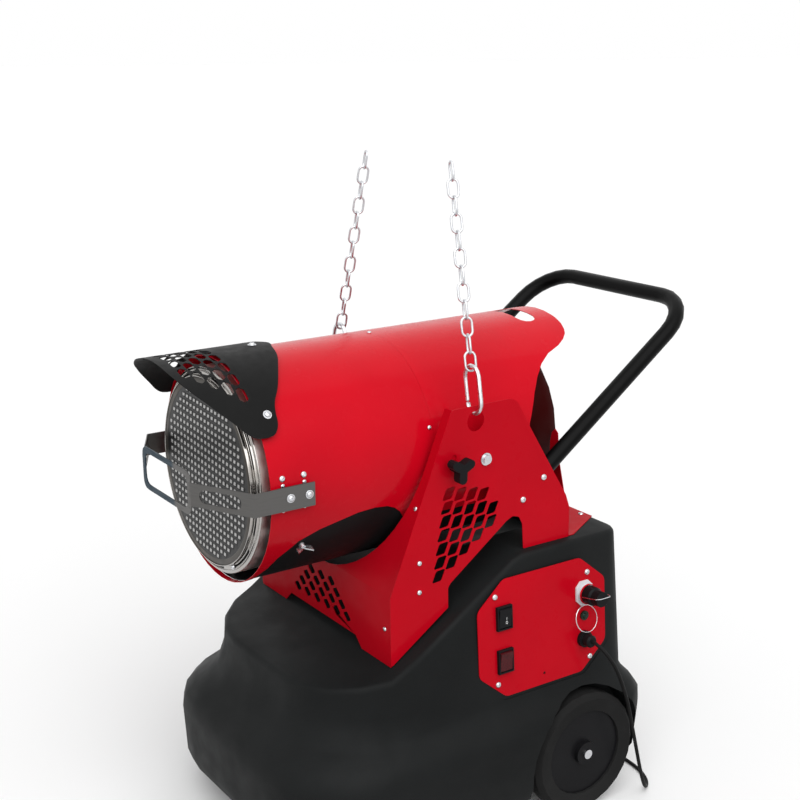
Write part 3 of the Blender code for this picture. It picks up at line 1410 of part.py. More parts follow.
# Thermostat socket with an eight-sided flange, its plug, bail and lanyard ring
flange_cut = 0.011
flange_thick = 0.004
socket_radius = socket_bore
socket_wall = 0.002
socket_out = 0.014
socket_in = -0.020
flange_shape = [(socket_along + a, socket_up + b) for a, b in octagon(flange_half_along, flange_half_up,
                                                                      flange_cut,
                                                                     flange_cut)]
socket = plate_prism("thermostat_socket", flange_shape, touch_gap, touch_gap + flange_thick, white_plastic)
barrel = finish_object("socket_barrel_form", lathe_mesh(
    [(0, socket_in), (socket_radius, socket_in), (socket_radius, socket_out), (0, socket_out)],
    on_plate(socket_along, socket_up, 0), plate_out, 24), None, cutter=True)
boolean(socket, barrel, "UNION")
socket_hollow_radius = socket_radius - socket_wall
socket_hollow_floor = -0.006
boolean(socket, rod("socket_hollow_cutter", on_plate(socket_along, socket_up, 0), plate_out,
                    socket_hollow_radius, socket_hollow_floor, socket_out * 2, 20, cutter=True))
plug_core = socket_hollow_radius - touch_gap * 2
plug_radius = 0.0185
plug_end = 0.056
plug_seat = socket_out + touch_gap
plug_neck = 0.0150
plug_step = 0.034
plug_slope = 0.004
plug_foot_gap = 0.002
plug_foot = socket_hollow_floor + plug_foot_gap
plug_profile = [(0, plug_foot), (plug_core, plug_foot), (plug_core, plug_seat), (plug_radius, plug_seat),
                (plug_radius, plug_step), (plug_neck, plug_step + plug_slope), (plug_neck, plug_end),
                (0, plug_end)]
plug_at = on_plate(socket_along, socket_up, 0)
lathe("thermostat_plug", plug_profile, plug_at, plate_out, 20, dark_plastic, origin=plug_at)

# Wire bail round the plug and the lanyard ring under the socket
wire_radius = 0.0009
bail_half = plug_radius + wire_radius + touch_gap
bail_past = 0.008
bail_reach = plug_end + bail_past
bail_above = 0.006
bail_root = plug_seat + bail_above
bail_rise = 0.006
bail_shares = ((-1, 0), (-1, 0.5), (-0.92, 0.82), (-0.6, 1), (0.6, 1), (0.92, 0.82), (1, 0.5), (1, 0))
bail_path = []
for a, w in bail_shares:
    bail_path.append(on_plate(socket_along + bail_half * a, socket_up + bail_rise * w,
                              bail_root + (bail_reach - bail_root) * w))
finish_object("plug_bail", sweep_mesh(bail_path, wire_radius, 6), zinc, origin=plug_at)
ring_radius = 0.0262
ring_wire = 0.0008
ring_out = 0.0025
ring_tilt = 0.0120
ring_top = socket_up - flange_half_up - ring_wire - touch_gap
ring_hang = on_plate(socket_along, ring_top, ring_out)
ring_path = []
ring_steps = 18
for i in range(ring_steps):
    angle = 2 * math.pi * i / ring_steps
    ring_path.append(on_plate(socket_along + ring_radius * math.sin(angle),
                              ring_top - ring_radius + ring_radius * math.cos(angle),
                              ring_out + ring_tilt * (1 - math.cos(angle)) / 2))
finish_object("lanyard_ring", sweep_mesh(ring_path, ring_wire, 5, closed=True), zinc, origin=ring_hang)

# Indicator lamp
lamp_bezel = 0.0095
lamp_bezel_out = 0.004
lamp_dome = 0.008
lamp_depth = 0.012
dome_share = 0.7
dome_rise_share = 0.85
lamp_profile = [(0, -lamp_depth), (lamp_radius, -lamp_depth), (lamp_radius, touch_gap),
                (lamp_bezel, touch_gap), (lamp_bezel, lamp_bezel_out), (lamp_radius, lamp_bezel_out),
                (lamp_radius * dome_share, lamp_dome * dome_rise_share), (0, lamp_dome)]
lathe("indicator_lamp", lamp_profile, on_plate(lamp_along, lamp_up, 0), plate_out, 20, green_lens)

# Cable gland and mains cord
nut_radius = 0.0165
nut_out = 0.009
collar_radius = 0.0125
collar_out = 0.024
cord_radius = 0.0036
gland_depth = 0.016
gland_tip = 0.004
tip_share = 0.75
gland_profile = [(0, -gland_depth), (gland_radius, -gland_depth), (gland_radius, touch_gap),
                 (nut_radius, touch_gap), (nut_radius, nut_out), (collar_radius, nut_out),
                 (collar_radius, collar_out), (collar_radius * tip_share, collar_out + gland_tip),
                 (0, collar_out + gland_tip)]
gland_at = on_plate(gland_along, gland_up, 0)
lathe("cable_gland", gland_profile, gland_at, plate_out, 18, dark_plastic)

# Cord: out of the gland, down past the tank and along the floor to a coil behind the heater
cord_floor = cord_radius - foot_z + touch_gap
gland_face = collar_out + gland_tip + touch_gap
coil_middle = 0.0432
coil_pitch = 0.0090
coil_layer = 0.0079
coil_turns = 3
coil_radius = coil_middle + coil_pitch * coil_turns / 2
coil_x = -0.0227
coil_y = 0.700
coil_centre = (coil_x, coil_y)
coil_points = 24
loop_bevel_steps = 1
tail_length = 0.030
plug_radius_mains = 0.015
route_step = 0.0165


def smooth_route(points, step):
    """Points at an even step on a smooth curve through the route's own points."""
    points = [Vector(p) for p in points]
    before = points[0] * 2 - points[1]
    after = points[-1] * 2 - points[-2]
    guide = [before] + points + [after]
    dense = []
    parts = 24
    for i in range(1, len(guide) - 2):
        a, b, c, d = guide[i - 1:i + 3]
        for k in range(parts):
            t = k / parts
            dense.append((b * 2 + (c - a) * t + (a * 2 - b * 5 + c * 4 - d) * t ** 2
                          + (b * 3 - a - c * 3 + d) * t ** 3) / 2)
    dense.append(points[-1])
    lengths = [0]
    for a, b in zip(dense, dense[1:]):
        lengths.append(lengths[-1] + (b - a).length)
    count = round(lengths[-1] / step)
    found = []
    k = 0
    for i in range(count + 1):
        goal = lengths[-1] * i / count
        while k < len(lengths) - 2 and lengths[k + 1] < goal:
            k += 1
        t = (goal - lengths[k]) / (lengths[k + 1] - lengths[k])
        found.append(dense[k].lerp(dense[k + 1], t))
    return found, lengths[-1]


def tube(name, points, radius, bevel_resolution, look):
    """A round tube as a curve with filled caps."""
    curve = bpy.data.curves.new(name, "CURVE")
    curve.dimensions = "3D"
    curve.bevel_depth = radius
    curve.bevel_resolution = bevel_resolution
    curve.use_fill_caps = True
    spline = curve.splines.new("POLY")
    spline.points.add(len(points) - 1)
    for place, point in zip(spline.points, points):
        place.co = (*point, 1)
    made = bpy.data.objects.new(name, curve)
    made.location = frame_shift
    bpy.context.scene.collection.objects.link(made)
    curve.materials.append(material(name + "_" + look[0], look[1], look[2], look[3]))
    return made


# Places that the free stretch passes, from the gland to the start of the coil
cord_places = [(0.3210, 0.4222, -0.0345), (0.3290, 0.4226, -0.0352), (0.3400, 0.4260, -0.0420),
               (0.3490, 0.4340, -0.0560), (0.3550, 0.4470, -0.0800), (0.3575, 0.4620, -0.1150),
               (0.3580, 0.4780, -0.1600), (0.3575, 0.4930, -0.2150), (0.3560, 0.5080, -0.2700),
               (0.3520, 0.5250, -0.3250), (0.3430, 0.5450, -0.3680), (0.3290, 0.5660, -0.3885),
               (0.3080, 0.5860, -0.3911), (0.2700, 0.6020, -0.3911), (0.2200, 0.6080, -0.3911),
               (0.1650, 0.6080, -0.3911), (0.1150, 0.6120, -0.3911), (0.0720, 0.6280, -0.3911),
               (0.0430, 0.6550, -0.3911), (0.0345, 0.6850, -0.3911), (0.0340, 0.6997, -0.3911)]
cord_start = on_plate(gland_along, gland_up, gland_face)
cord_lead = on_plate(gland_along, gland_up, gland_face + 2 * cord_radius)
coil_start = Vector((coil_centre[0] + coil_radius, coil_centre[1], cord_floor))
cord_stop = coil_start - Vector((0, touch_gap, 0))
cord_points, cord_length = smooth_route([cord_start, cord_lead] + cord_places[2:-2]
                                        + [cord_stop - Vector((0, 2 * cord_radius, 0)), cord_stop],
                                        route_step)
cord_points.insert(1, cord_lead)
cord_points.insert(-1, cord_stop - Vector((0, 2 * cord_radius, 0)))
tube("mains_cord", cord_points, cord_radius, 2, rubber)

# Coil: spirals in on the floor, climbs in the half turn where it reverses, and spirals out on top
in_turn = 2 * math.pi * coil_turns
climb_turn = math.pi
coil_path = []
total_turn = 2 * in_turn + climb_turn
total_steps = round(total_turn / (2 * math.pi) * coil_points)
for i in range(total_steps + 1):
    angle = total_turn * i / total_steps
    into = min(angle, in_turn) / (2 * math.pi)
    outof = max(0, angle - in_turn - climb_turn) / (2 * math.pi)
    lift = min(1, max(0, (angle - in_turn) / climb_turn))
    reach = coil_radius - coil_pitch * (into - outof)
    coil_path.append(Vector((coil_centre[0] + reach * math.cos(angle),
                             coil_centre[1] + reach * math.sin(angle),
                             cord_floor + coil_layer * lift)))
coil_stop = coil_path[-1].copy()
plug_lift = plug_radius_mains - cord_radius - coil_layer
tail_steps = 4
for i in range(1, tail_steps + 1):
    t = i / tail_steps
    ease = t * t * (3 - 2 * t)
    coil_path.append(coil_stop + Vector((0, -tail_length * t, plug_lift * ease)))
coil_path.append(coil_path[-1] - Vector((0, 2 * cord_radius, 0)))
coil_path.insert(1, coil_path[0] + Vector((0, 2 * cord_radius, 0)))
tube("mains_coil", coil_path, cord_radius, loop_bevel_steps, rubber)
places = np.array([tuple(p) for p in coil_path])
apart = np.linalg.norm(places[:, None] - places[None], axis=2)
near = np.abs(np.subtract.outer(np.arange(len(places)), np.arange(len(places)))) < coil_points // 3
apart[near] = coil_radius
coil_length = float(np.sum(np.linalg.norm(np.diff(places, axis=0), axis=1)))
print("cord length", round(cord_length + coil_length, 3), "least gap",
      round(float(apart.min()) - 2 * cord_radius, 5))

# Mains plug at the coil's outer end
plug_length = 0.040
plug_front = 0.014
plug_back_share = 0.55
mains_plug_at = coil_path[-1] - Vector((0, touch_gap, 0))
cord_way = Vector((0, -1, 0))
mains_profile = [(0, 0), (plug_radius_mains * plug_back_share, 0), (plug_radius_mains, plug_front),
                 (plug_radius_mains, plug_length), (0, plug_length)]
mains_plug = lathe("mains_plug", mains_profile, mains_plug_at, cord_way, 14, rubber)
pin_radius = 0.0024
pin_length = 0.019
pin_gap = 0.0095
pins = []
for s in (-1, 1):
    pins.append(lathe_mesh([(0, plug_length / 2), (pin_radius, plug_length / 2),
                            (pin_radius, plug_length + pin_length), (0, plug_length + pin_length)],
                           mains_plug_at + Vector((pin_gap * s, 0, 0)), cord_way, 8))
boolean(mains_plug, merge_meshes("pin_form", pins, cutter=True), "UNION")

# Slings: a carabiner through each panel and a length of chain leaning to the middle
hook_wire = 0.0040
gate_radius = 0.0032
hook_stub = 0.001
hook_steps = 8
hook_gap = 0.0010
hook_half = 0.0200
hook_height = 0.0870
sling_in = 0.235
sling_back = 0.046
link_wire = 0.00225
link_pitch = 0.0300
link_half = 0.0098
link_count = 12
link_steps = 6
wire_sides = 4
link_bite_share = 0.5
link_turn_share = 0.35
link_play = 0.0009
for side, label in ((1, "right"), (-1, "left")):
    up = Vector((-side * sling_in, sling_back, 1)).normalized()
    out = Vector((side, 0, 0))
    out = (out - up * out.dot(up)).normalized()
    depth = up.cross(out)
    hang = Vector((side * (support_half - sheet / 2), hook_hole[0],
                   hook_hole[1] + hook_hole_radius - hook_wire - hook_gap))

    def on_hook(a, b):
        return hang + out * a + up * b

    loop = []
    low_centre = hook_half
    high_centre = hook_height - hook_half
    loop.append(on_hook(-hook_half, low_centre + hook_stub))
    for i in range(hook_steps + 1):
        angle = math.pi + math.pi * i / hook_steps
        loop.append(on_hook(hook_half * math.cos(angle), low_centre + hook_half * math.sin(angle)))
    for i in range(hook_steps + 1):
        angle = math.pi * i / hook_steps
        loop.append(on_hook(hook_half * math.cos(angle), high_centre + hook_half * math.sin(angle)))
    loop.append(on_hook(-hook_half, high_centre - hook_stub))
    finish_object("carabiner_" + label, sweep_mesh(loop, hook_wire, 6), zinc, origin=hang)
    gate_start = on_hook(-hook_half, low_centre + hook_stub)
    gate_length = high_centre - low_centre - 2 * hook_stub - touch_gap
    gate_profile = [(0, touch_gap), (gate_radius, touch_gap + gate_radius), (gate_radius, gate_length),
                    (0, gate_length)]
    lathe("carabiner_gate_" + label, gate_profile, gate_start, up, 8, zinc, origin=gate_start)
    chain_start = hang + up * (hook_height - hook_wire - link_wire - link_play)
    odd = []
    even = []
    for i in range(link_count):
        flat = (depth + out * link_turn_share) if i % 2 == 0 else (out - depth * link_turn_share)
        flat = (flat - up * flat.dot(up)).normalized()
        base = chain_start + up * (link_pitch + link_wire * link_bite_share) * i
        rise = link_pitch + link_wire * 2 - 2 * link_half
        path = []
        half_steps = link_steps // 2
        for k in range(half_steps):
            angle = math.pi + math.pi * k / (half_steps - 1)
            path.append(base + flat * link_half * math.cos(angle)
                        + up * (link_half - link_wire + link_half * math.sin(angle)))
        for k in range(half_steps):
            angle = math.pi * k / (half_steps - 1)
            path.append(base + flat * link_half * math.cos(angle)
                        + up * (link_half - link_wire + rise + link_half * math.sin(angle)))
        mesh = sweep_mesh(path, link_wire, wire_sides, closed=True)
        (even if i % 2 == 0 else odd).append(mesh)
    bow = hang + up * hook_height
    chain = merge_meshes("chain_" + label, even, zinc, origin=bow)
    boolean(chain, merge_meshes("odd_links_" + label, odd, cutter=True, origin=bow), "UNION")
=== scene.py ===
"""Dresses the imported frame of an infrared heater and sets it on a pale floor."""
import math

import bmesh
import bpy
import numpy as np
from mathutils import Matrix, Vector
from mathutils.bvhtree import BVHTree


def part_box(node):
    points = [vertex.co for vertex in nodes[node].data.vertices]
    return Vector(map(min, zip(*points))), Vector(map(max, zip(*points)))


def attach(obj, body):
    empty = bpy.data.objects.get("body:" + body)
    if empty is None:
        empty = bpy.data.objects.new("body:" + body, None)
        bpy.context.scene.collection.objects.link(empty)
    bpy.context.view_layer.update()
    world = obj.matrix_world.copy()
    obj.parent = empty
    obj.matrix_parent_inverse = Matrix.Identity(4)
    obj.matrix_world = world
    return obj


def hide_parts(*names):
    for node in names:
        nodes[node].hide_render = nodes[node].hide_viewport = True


bl_info = {
    "name": "Infrared heater",
    "version": (1, 0, 0),
    "blender": (4, 5, 0),
    "location": "View3D > Sidebar > Heater",
    "description": "Finishes and fittings of an oil-fired infrared heater",
    "category": "Object",
}

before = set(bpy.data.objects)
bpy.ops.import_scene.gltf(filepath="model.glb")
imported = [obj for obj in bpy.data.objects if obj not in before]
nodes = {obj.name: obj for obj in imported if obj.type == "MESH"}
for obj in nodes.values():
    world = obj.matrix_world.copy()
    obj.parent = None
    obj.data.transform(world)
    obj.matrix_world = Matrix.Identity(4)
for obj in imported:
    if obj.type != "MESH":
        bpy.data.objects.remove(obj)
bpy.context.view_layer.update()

# Where the support's front foot stands in the frame, and the burner's axis above it
foot = np.array([-0.0080, -0.2173, 0.3950])
axis_height = 0.3565

# The control plate: its middle from the front foot, its lean, and the ways out of it and up along it
plate_middle = np.array([0.28419, 0.3232, 0.0135])
plate_lean = math.radians(3.4)
plate_out = np.array([math.cos(plate_lean), 0, math.sin(plate_lean)])
plate_up = np.array([-math.sin(plate_lean), 0, math.cos(plate_lean)])


class HeaterFinishes(bpy.types.PropertyGroup):
    """Colours and surface of the heater's finishes"""
    red: bpy.props.FloatVectorProperty(
        name="Red paint", description="Gloss coat of the sheet metal", subtype="COLOR", size=3,
        min=0, max=1, default=(0.58, 0.002, 0.012))
    black: bpy.props.FloatVectorProperty(
        name="Black paint", description="Coat of handle, skid and under shell", subtype="COLOR",
        size=3, min=0, max=1, default=(0.0075, 0.0075, 0.0078))
    plastic: bpy.props.FloatVectorProperty(
        name="Tank plastic", description="Moulded plastic of the tank", subtype="COLOR", size=3,
        min=0, max=1, default=(0.0100, 0.0108, 0.0110))
    steel: bpy.props.FloatVectorProperty(
        name="Stainless steel", description="Can and guard", subtype="COLOR", size=3,
        min=0, max=1, default=(0.50, 0.49, 0.48))
    zinc: bpy.props.FloatVectorProperty(
        name="Zinc", description="Screws, chain and hooks", subtype="COLOR", size=3,
        min=0, max=1, default=(0.62, 0.63, 0.65))
    lens: bpy.props.FloatVectorProperty(
        name="Green lens", description="Indicator lamp", subtype="COLOR", size=3,
        min=0, max=1, default=(0.002, 0.016, 0.008))
    gloss: bpy.props.FloatProperty(
        name="Paint roughness", description="Roughness of the red coat", subtype="FACTOR",
        min=0, max=1, default=0.24)


class HeaterSizes(bpy.types.PropertyGroup):
    """Sizes of the fittings that are added to the frame"""
    shell_radius: bpy.props.FloatProperty(
        name="Shell radius", description="Outside of the red shell", unit="LENGTH", default=0.209)
    disc_radius: bpy.props.FloatProperty(
        name="Disc radius", description="Dimpled emitter disc", unit="LENGTH", default=0.172)
    can_radius: bpy.props.FloatProperty(
        name="Can radius", description="Outside of the steel can", unit="LENGTH", default=0.190)
    visor_radius: bpy.props.FloatProperty(
        name="Visor radius", description="Outside of the visor", unit="LENGTH", default=0.2185)
    dimple_across: bpy.props.FloatProperty(
        name="Dimple spacing across", description="Distance between two dimples in a row", unit="LENGTH",
        default=0.0142)
    dimple_down: bpy.props.FloatProperty(
        name="Dimple spacing down", description="Distance between two rows", unit="LENGTH", default=0.0136)
    dimple_field: bpy.props.FloatProperty(
        name="Dimple field", description="Radius of the dimpled field", unit="LENGTH", default=0.156)
    dimple_height: bpy.props.FloatProperty(
        name="Dimple height", description="How far a dimple stands out", unit="LENGTH", default=0.0019)
    screw_radius: bpy.props.FloatProperty(
        name="Screw radius", description="Head of the panel screws", unit="LENGTH", default=0.0046)
    cord_radius: bpy.props.FloatProperty(
        name="Cord radius", description="Half the thickness of the mains cord", unit="LENGTH",
        default=0.0036)
    link_wire: bpy.props.FloatProperty(
        name="Chain wire", description="Radius of the wire of a link", unit="LENGTH", default=0.00225)


class HeaterStage(bpy.types.PropertyGroup):
    """Camera, floor and lamps"""
    camera_place: bpy.props.FloatVectorProperty(
        name="Camera place", description="Where the camera stands", unit="LENGTH", size=3,
        default=(2.1703, -1.4724, 1.5212))
    azimuth: bpy.props.FloatProperty(
        name="Azimuth", description="Side that the camera looks from", subtype="ANGLE",
        default=math.radians(56.47))
    elevation: bpy.props.FloatProperty(
        name="Elevation", description="How steeply the camera looks down", subtype="ANGLE",
        default=math.radians(15.08))
    roll: bpy.props.FloatProperty(
        name="Roll", description="Tilt of the picture", subtype="ANGLE", default=math.radians(-0.69))
    lens: bpy.props.FloatProperty(
        name="Lens", description="Focal length on a 36 mm sensor, in millimetres", default=62.43)
    floor: bpy.props.FloatVectorProperty(
        name="Floor", description="Colour of the floor", subtype="COLOR", size=3,
        min=0, max=1, default=(0.93, 0.93, 0.93))
    bounce: bpy.props.FloatProperty(
        name="Bounce", description="Share of the light that the floor throws back onto the heater",
        subtype="FACTOR", min=0, max=1, default=0.40)
    sky: bpy.props.FloatProperty(name="Sky", description="Strength of the even light", default=0.34)
    key: bpy.props.FloatProperty(name="Key lamp", description="Strength of the lamp at the side", default=2.6)
    front: bpy.props.FloatProperty(
        name="Front lamp", description="Strength of the lamp at the front", default=0.30)
    rear: bpy.props.FloatProperty(name="Rear lamp", description="Strength of the lamp behind", default=0.5)


# Shapes: every shape is a pair of arrays, points and faces

def quads(rows, columns, wrap_rows=False, wrap_columns=False, start=0):
    """Four-cornered faces of a grid of points; a wrapped side joins its last line to its first."""
    a = np.arange(rows if wrap_rows else rows - 1)[:, None]
    b = np.arange(columns if wrap_columns else columns - 1)[None, :]
    down, right = (a + 1) % rows, (b + 1) % columns
    corners = (a * columns + b, a * columns + right, down * columns + right, down * columns + b)
    return np.stack([c + 0 * (a + b) for c in corners], -1).reshape(-1, 4) + start


def face_list(faces):
    """An array of faces as a list of tuples."""
    return [tuple(f) for f in faces.tolist()]


def grid(points, wrap_rows=False, wrap_columns=False, caps=False):
    """A surface over two parameters: an array of rows, columns and x, y, z. Caps close the two end rows."""
    rows, columns = points.shape[:2]
    faces = face_list(quads(rows, columns, wrap_rows, wrap_columns))
    if caps:
        faces.append(tuple(range(columns - 1, -1, -1)))
        faces.append(tuple((rows - 1) * columns + np.arange(columns)))
    return points.reshape(-1, 3), faces


def unit(v):
    """A direction of length one."""
    v = np.asarray(v, float)
    return v / np.linalg.norm(v, axis=-1, keepdims=True)


def turned(profile, centre, axis, steps):
    """A profile of radius and height turned round an axis: centre + axis·height + radius·(cos, sin)."""
    axis = unit(axis)
    side = unit(np.cross(axis, (0.31, 0.52, 0.79)))
    over = np.cross(axis, side)
    profile = np.asarray(profile, float)
    angle = np.linspace(0, 2 * math.pi, steps, endpoint=False)
    ring = np.cos(angle)[:, None] * side + np.sin(angle)[:, None] * over
    points = np.asarray(centre, float) + profile[:, 1, None, None] * axis + profile[:, 0, None, None] * ring
    return grid(points, wrap_columns=True, caps=True)


def turned_ring(profile, centre, axis, steps):
    """A closed profile of radius and height turned round an axis, as a ring that is open in the middle."""
    points = turned(profile, centre, axis, steps)[0]
    return points, face_list(quads(len(profile), steps, True, True))


def placed(name, data):
    """A new object that holds the data, linked into the scene."""
    made = bpy.data.objects.new(name, data)
    bpy.context.scene.collection.objects.link(made)
    return made


def mesh_shape(mesh):
    """The points and faces of a mesh as a shape."""
    points = np.empty(3 * len(mesh.vertices), np.float32)
    mesh.vertices.foreach_get("co", points)
    return points.reshape(-1, 3), [tuple(p.vertices) for p in mesh.polygons]


def outward(points, faces, name):
    """A closed mesh object whose faces are turned outwards."""
    mesh = bpy.data.meshes.new(name)
    mesh.from_pydata(np.asarray(points, float).tolist(), [], faces)
    work = bmesh.new()
    work.from_mesh(mesh)
    bmesh.ops.recalc_face_normals(work, faces=work.faces)
    work.to_mesh(mesh)
    work.free()
    return placed(name, mesh)


def carried(path, radius, sides, closed=False):
    """A round section carried along a path: each point's two side directions are handed on along the
    path by projection, and a closed path shares out the twist that is left at its end."""
    path = np.asarray(path, float)
    count = len(path)
    if closed:
        along = unit(np.roll(path, -1, 0) - np.roll(path, 1, 0))
    else:
        along = unit(np.gradient(path, axis=0))
    side = np.zeros_like(path)
    side[0] = unit(np.cross(along[0], (0.21, 0.35, 0.91)))
    for i in range(1, count):
        side[i] = unit(side[i - 1] - along[i] * (side[i - 1] @ along[i]))
    over = np.cross(along, side)
    twist = np.zeros(count)
    if closed:
        last = side[-1] - along[0] * (side[-1] @ along[0])
        left = math.atan2(last @ over[0], last @ side[0])
        twist = -left * np.arange(count) / count
    angle = np.linspace(0, 2 * math.pi, sides, endpoint=False)[None, :] + twist[:, None]
    reach = np.broadcast_to(np.asarray(radius, float), (count,))[:, None, None]
    points = path[:, None] + reach * (np.cos(angle)[..., None] * side[:, None]
                                      + np.sin(angle)[..., None] * over[:, None])
    return grid(points, wrap_rows=closed, wrap_columns=True, caps=not closed)


def together(shapes):
    """Several shapes as one."""
    points, faces, start = [], [], 0
    for p, f in shapes:
        points.append(p)
        faces += [tuple(int(i) + start for i in face) for face in f]
        start += len(p)
    return np.concatenate(points), faces


def piece(name, shape, look, body, replaces=(), crease=40):
    """Puts a shape into a mesh with its finish, and lets it ride on its body."""
    points, faces = shape
    mesh = bpy.data.meshes.new(name)
    mesh.from_pydata(np.asarray(points, float).tolist(), [], faces)
    mesh.validate()
    mesh.shade_smooth()
    mesh.set_sharp_from_angle(angle=math.radians(crease))
    mesh.materials.append(looks[look])
    made = placed(name, mesh)
    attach(made, body)
    if replaces:
        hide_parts(*replaces)
    return made


def at(*place):
    """A point measured from the support's front foot, in the frame."""
    return np.asarray(place, float) + foot


def on_shell(degrees, y, radius):
    """A point on the burner by its angle from the top, its y and its radius."""
    angle = np.radians(degrees)
    y = y + 0 * angle
    return np.stack([radius * np.sin(angle), y, axis_height + radius * np.cos(angle)], -1) + foot


# Finishes

def look_nodes(name):
    """A new material with its shader, its node tree and Object coordinates."""
    made = bpy.data.materials.new(name)
    made.use_nodes = True
    tree = made.node_tree
    place = tree.nodes.new("ShaderNodeTexCoord")
    return made, tree, tree.nodes["Principled BSDF"], place.outputs["Object"]


def fixed(node, **values):
    """Sets plain values on a node's own sockets; an underscore stands for a space."""
    for name, value in values.items():
        node.inputs[name.replace("_", " ")].default_value = value


def noise(tree, where, scale, detail=3.0, stretch=None):
    """Noise at a scale, stretched along the axes if asked."""
    if stretch:
        mapping = tree.nodes.new("ShaderNodeMapping")
        fixed(mapping, Scale=stretch)
        tree.links.new(where, mapping.inputs["Vector"])
        where = mapping.outputs["Vector"]
    made = tree.nodes.new("ShaderNodeTexNoise")
    fixed(made, Scale=scale, Detail=detail)
    tree.links.new(where, made.inputs["Vector"])
    return made.outputs["Fac"]


def spread(tree, value, low, high, start=0.3, end=0.7):
    """Maps a noise value from start..end to low..high."""
    made = tree.nodes.new("ShaderNodeMapRange")
    fixed(made, From_Min=start, From_Max=end, To_Min=low, To_Max=high)
    tree.links.new(value, made.inputs["Value"])
    return made.outputs["Result"]


def tint(tree, share, first, second, socket=None):
    """Mixes two colours by a share, into a socket if one is given. Each is a colour or a node's output."""
    made = tree.nodes.new("ShaderNodeMix")
    link = tree.links.new
    made.data_type = "RGBA"
    for key, value in (("A", first), ("B", second)):
        if isinstance(value, tuple):
            made.inputs[key].default_value = (*value, 1)
        else:
            link(value, made.inputs[key])
    link(share, made.inputs["Factor"])
    if socket is not None:
        link(made.outputs["Result"], socket)
    return made.outputs["Result"]


def bumps(tree, height, strength, depth, shader, before=None):
    """A bump of a real depth in metres."""
    made = tree.nodes.new("ShaderNodeBump")
    link = tree.links.new
    fixed(made, Strength=strength, Distance=depth)
    link(height, made.inputs["Height"])
    if before is not None:
        link(before, made.inputs["Normal"])
    link(made.outputs["Normal"], shader.inputs["Normal"])
    return made.outputs["Normal"]


def shade(colour, share):
    """A colour made lighter or darker by a share."""
    return tuple(min(1.0, c * share) for c in colour)


def mottled(name, colour, tones, tone_scale, roughness, drift, drift_scale, detail=3.0):
    """A new material whose colour and roughness wander between two shares of their middle values."""
    made, tree, shader, place = look_nodes(name)
    tint(tree, spread(tree, noise(tree, place, tone_scale, detail), 0, 1), shade(colour, tones[0]),
         shade(colour, tones[1]), shader.inputs["Base Color"])
    wander = noise(tree, place, drift_scale, detail)
    tree.links.new(spread(tree, wander, roughness * drift[0], roughness * drift[1]),
                   shader.inputs["Roughness"])
    return made, tree, shader, place


def gloss_paint(name, colour, roughness, coat):
    """Powder coat: fine orange peel under a clear gloss, a little deeper in patches."""
    made, tree, shader, place = mottled(name, colour, (0.93, 1.05), 5.0, roughness, (0.85, 1.25), 38.0)
    fixed(shader, Specular_IOR_Level=0.03, Coat_Weight=coat, Coat_Roughness=0.14, Coat_IOR=1.32)
    bumps(tree, noise(tree, place, 420.0, 1.0), 0.16, 0.0004, shader)
    return made


def satin_paint(name, colour, roughness):
    """Satin powder coat with a fine grain."""
    made, tree, shader, place = mottled(name, colour, (0.85, 1.2), 9.0, roughness, (0.9, 1.15), 60.0)
    fixed(shader, Specular_IOR_Level=0.07)
    bumps(tree, noise(tree, place, 900.0, 1.0), 0.22, 0.0003, shader)
    return made


def moulded_plastic(name, colour, roughness):
    """Moulded plastic: a pebbled skin, soft clouds and faint rubbed streaks."""
    made, tree, shader, place = mottled(name, colour, (0.8, 1.35), 4.0, roughness, (0.85, 1.2), 14.0, 5.0)
    fixed(shader, Specular_IOR_Level=0.07)
    first = bumps(tree, noise(tree, place, 330.0, 2.0), 0.35, 0.0006, shader)
    bumps(tree, noise(tree, place, 22.0, 3.0), 0.10, 0.002, shader, first)
    return made


def brushed_steel(name, colour, roughness, warm, stretch=None):
    """Brushed sheet: fine streaks, long where they are stretched, and a light bloom of heat."""
    made, tree, shader, place = look_nodes(name)
    streaks = noise(tree, place, 30.0, 6.0, stretch)
    bloom = tuple(c * (1 - fade * warm) for c, fade in zip(colour, (0.1, 0.25, 0.45)))
    tint(tree, spread(tree, noise(tree, place, 7.0), 0, 1), colour, bloom, shader.inputs["Base Color"])
    tree.links.new(spread(tree, streaks, roughness * 0.75, roughness * 1.3), shader.inputs["Roughness"])
    fixed(shader, Metallic=1.0)
    bumps(tree, streaks, 0.03, 0.0003, shader)
    return made


def painted_dim_reflection(look, colour, start, end, soft):
    """Paints a blue-grey reflection of dim surroundings over a steel on a stretch of x, from start to end,
    with soft borders.
    """
    tree = look.node_tree
    link = tree.links.new
    target = tree.nodes["Principled BSDF"].inputs["Base Color"]
    before = target.links[0].from_socket
    place = tree.nodes.new("ShaderNodeTexCoord")
    apart = tree.nodes.new("ShaderNodeSeparateXYZ")
    link(place.outputs["Object"], apart.inputs["Vector"])
    both = tree.nodes.new("ShaderNodeMath")
    both.operation = "MULTIPLY"
    link(spread(tree, apart.outputs["X"], 0, 1, start, start + soft), both.inputs[0])
    link(spread(tree, apart.outputs["X"], 1, 0, end, end + soft), both.inputs[1])
    tint(tree, both.outputs[0], before, colour, target)
    return look


def bright_metal(name, colour, roughness):
    """Plated metal with small dull spots."""
    made, tree, shader, place = mottled(name, colour, (0.86, 1.0), 160.0, roughness, (0.8, 1.5), 90.0)
    fixed(shader, Metallic=1.0)
    bumps(tree, noise(tree, place, 500.0, 2.0), 0.1, 0.0002, shader)
    return made


def clear_lens(name, colour, roughness, coat):
    """Coloured lens: glossy, with a fine grain inside."""
    made, _, shader, _ = mottled(name, colour, (0.6, 1.4), 300.0, roughness, (1.0, 1.5), 80.0)
    fixed(shader, Specular_IOR_Level=0.15, Coat_Weight=coat)
    return made


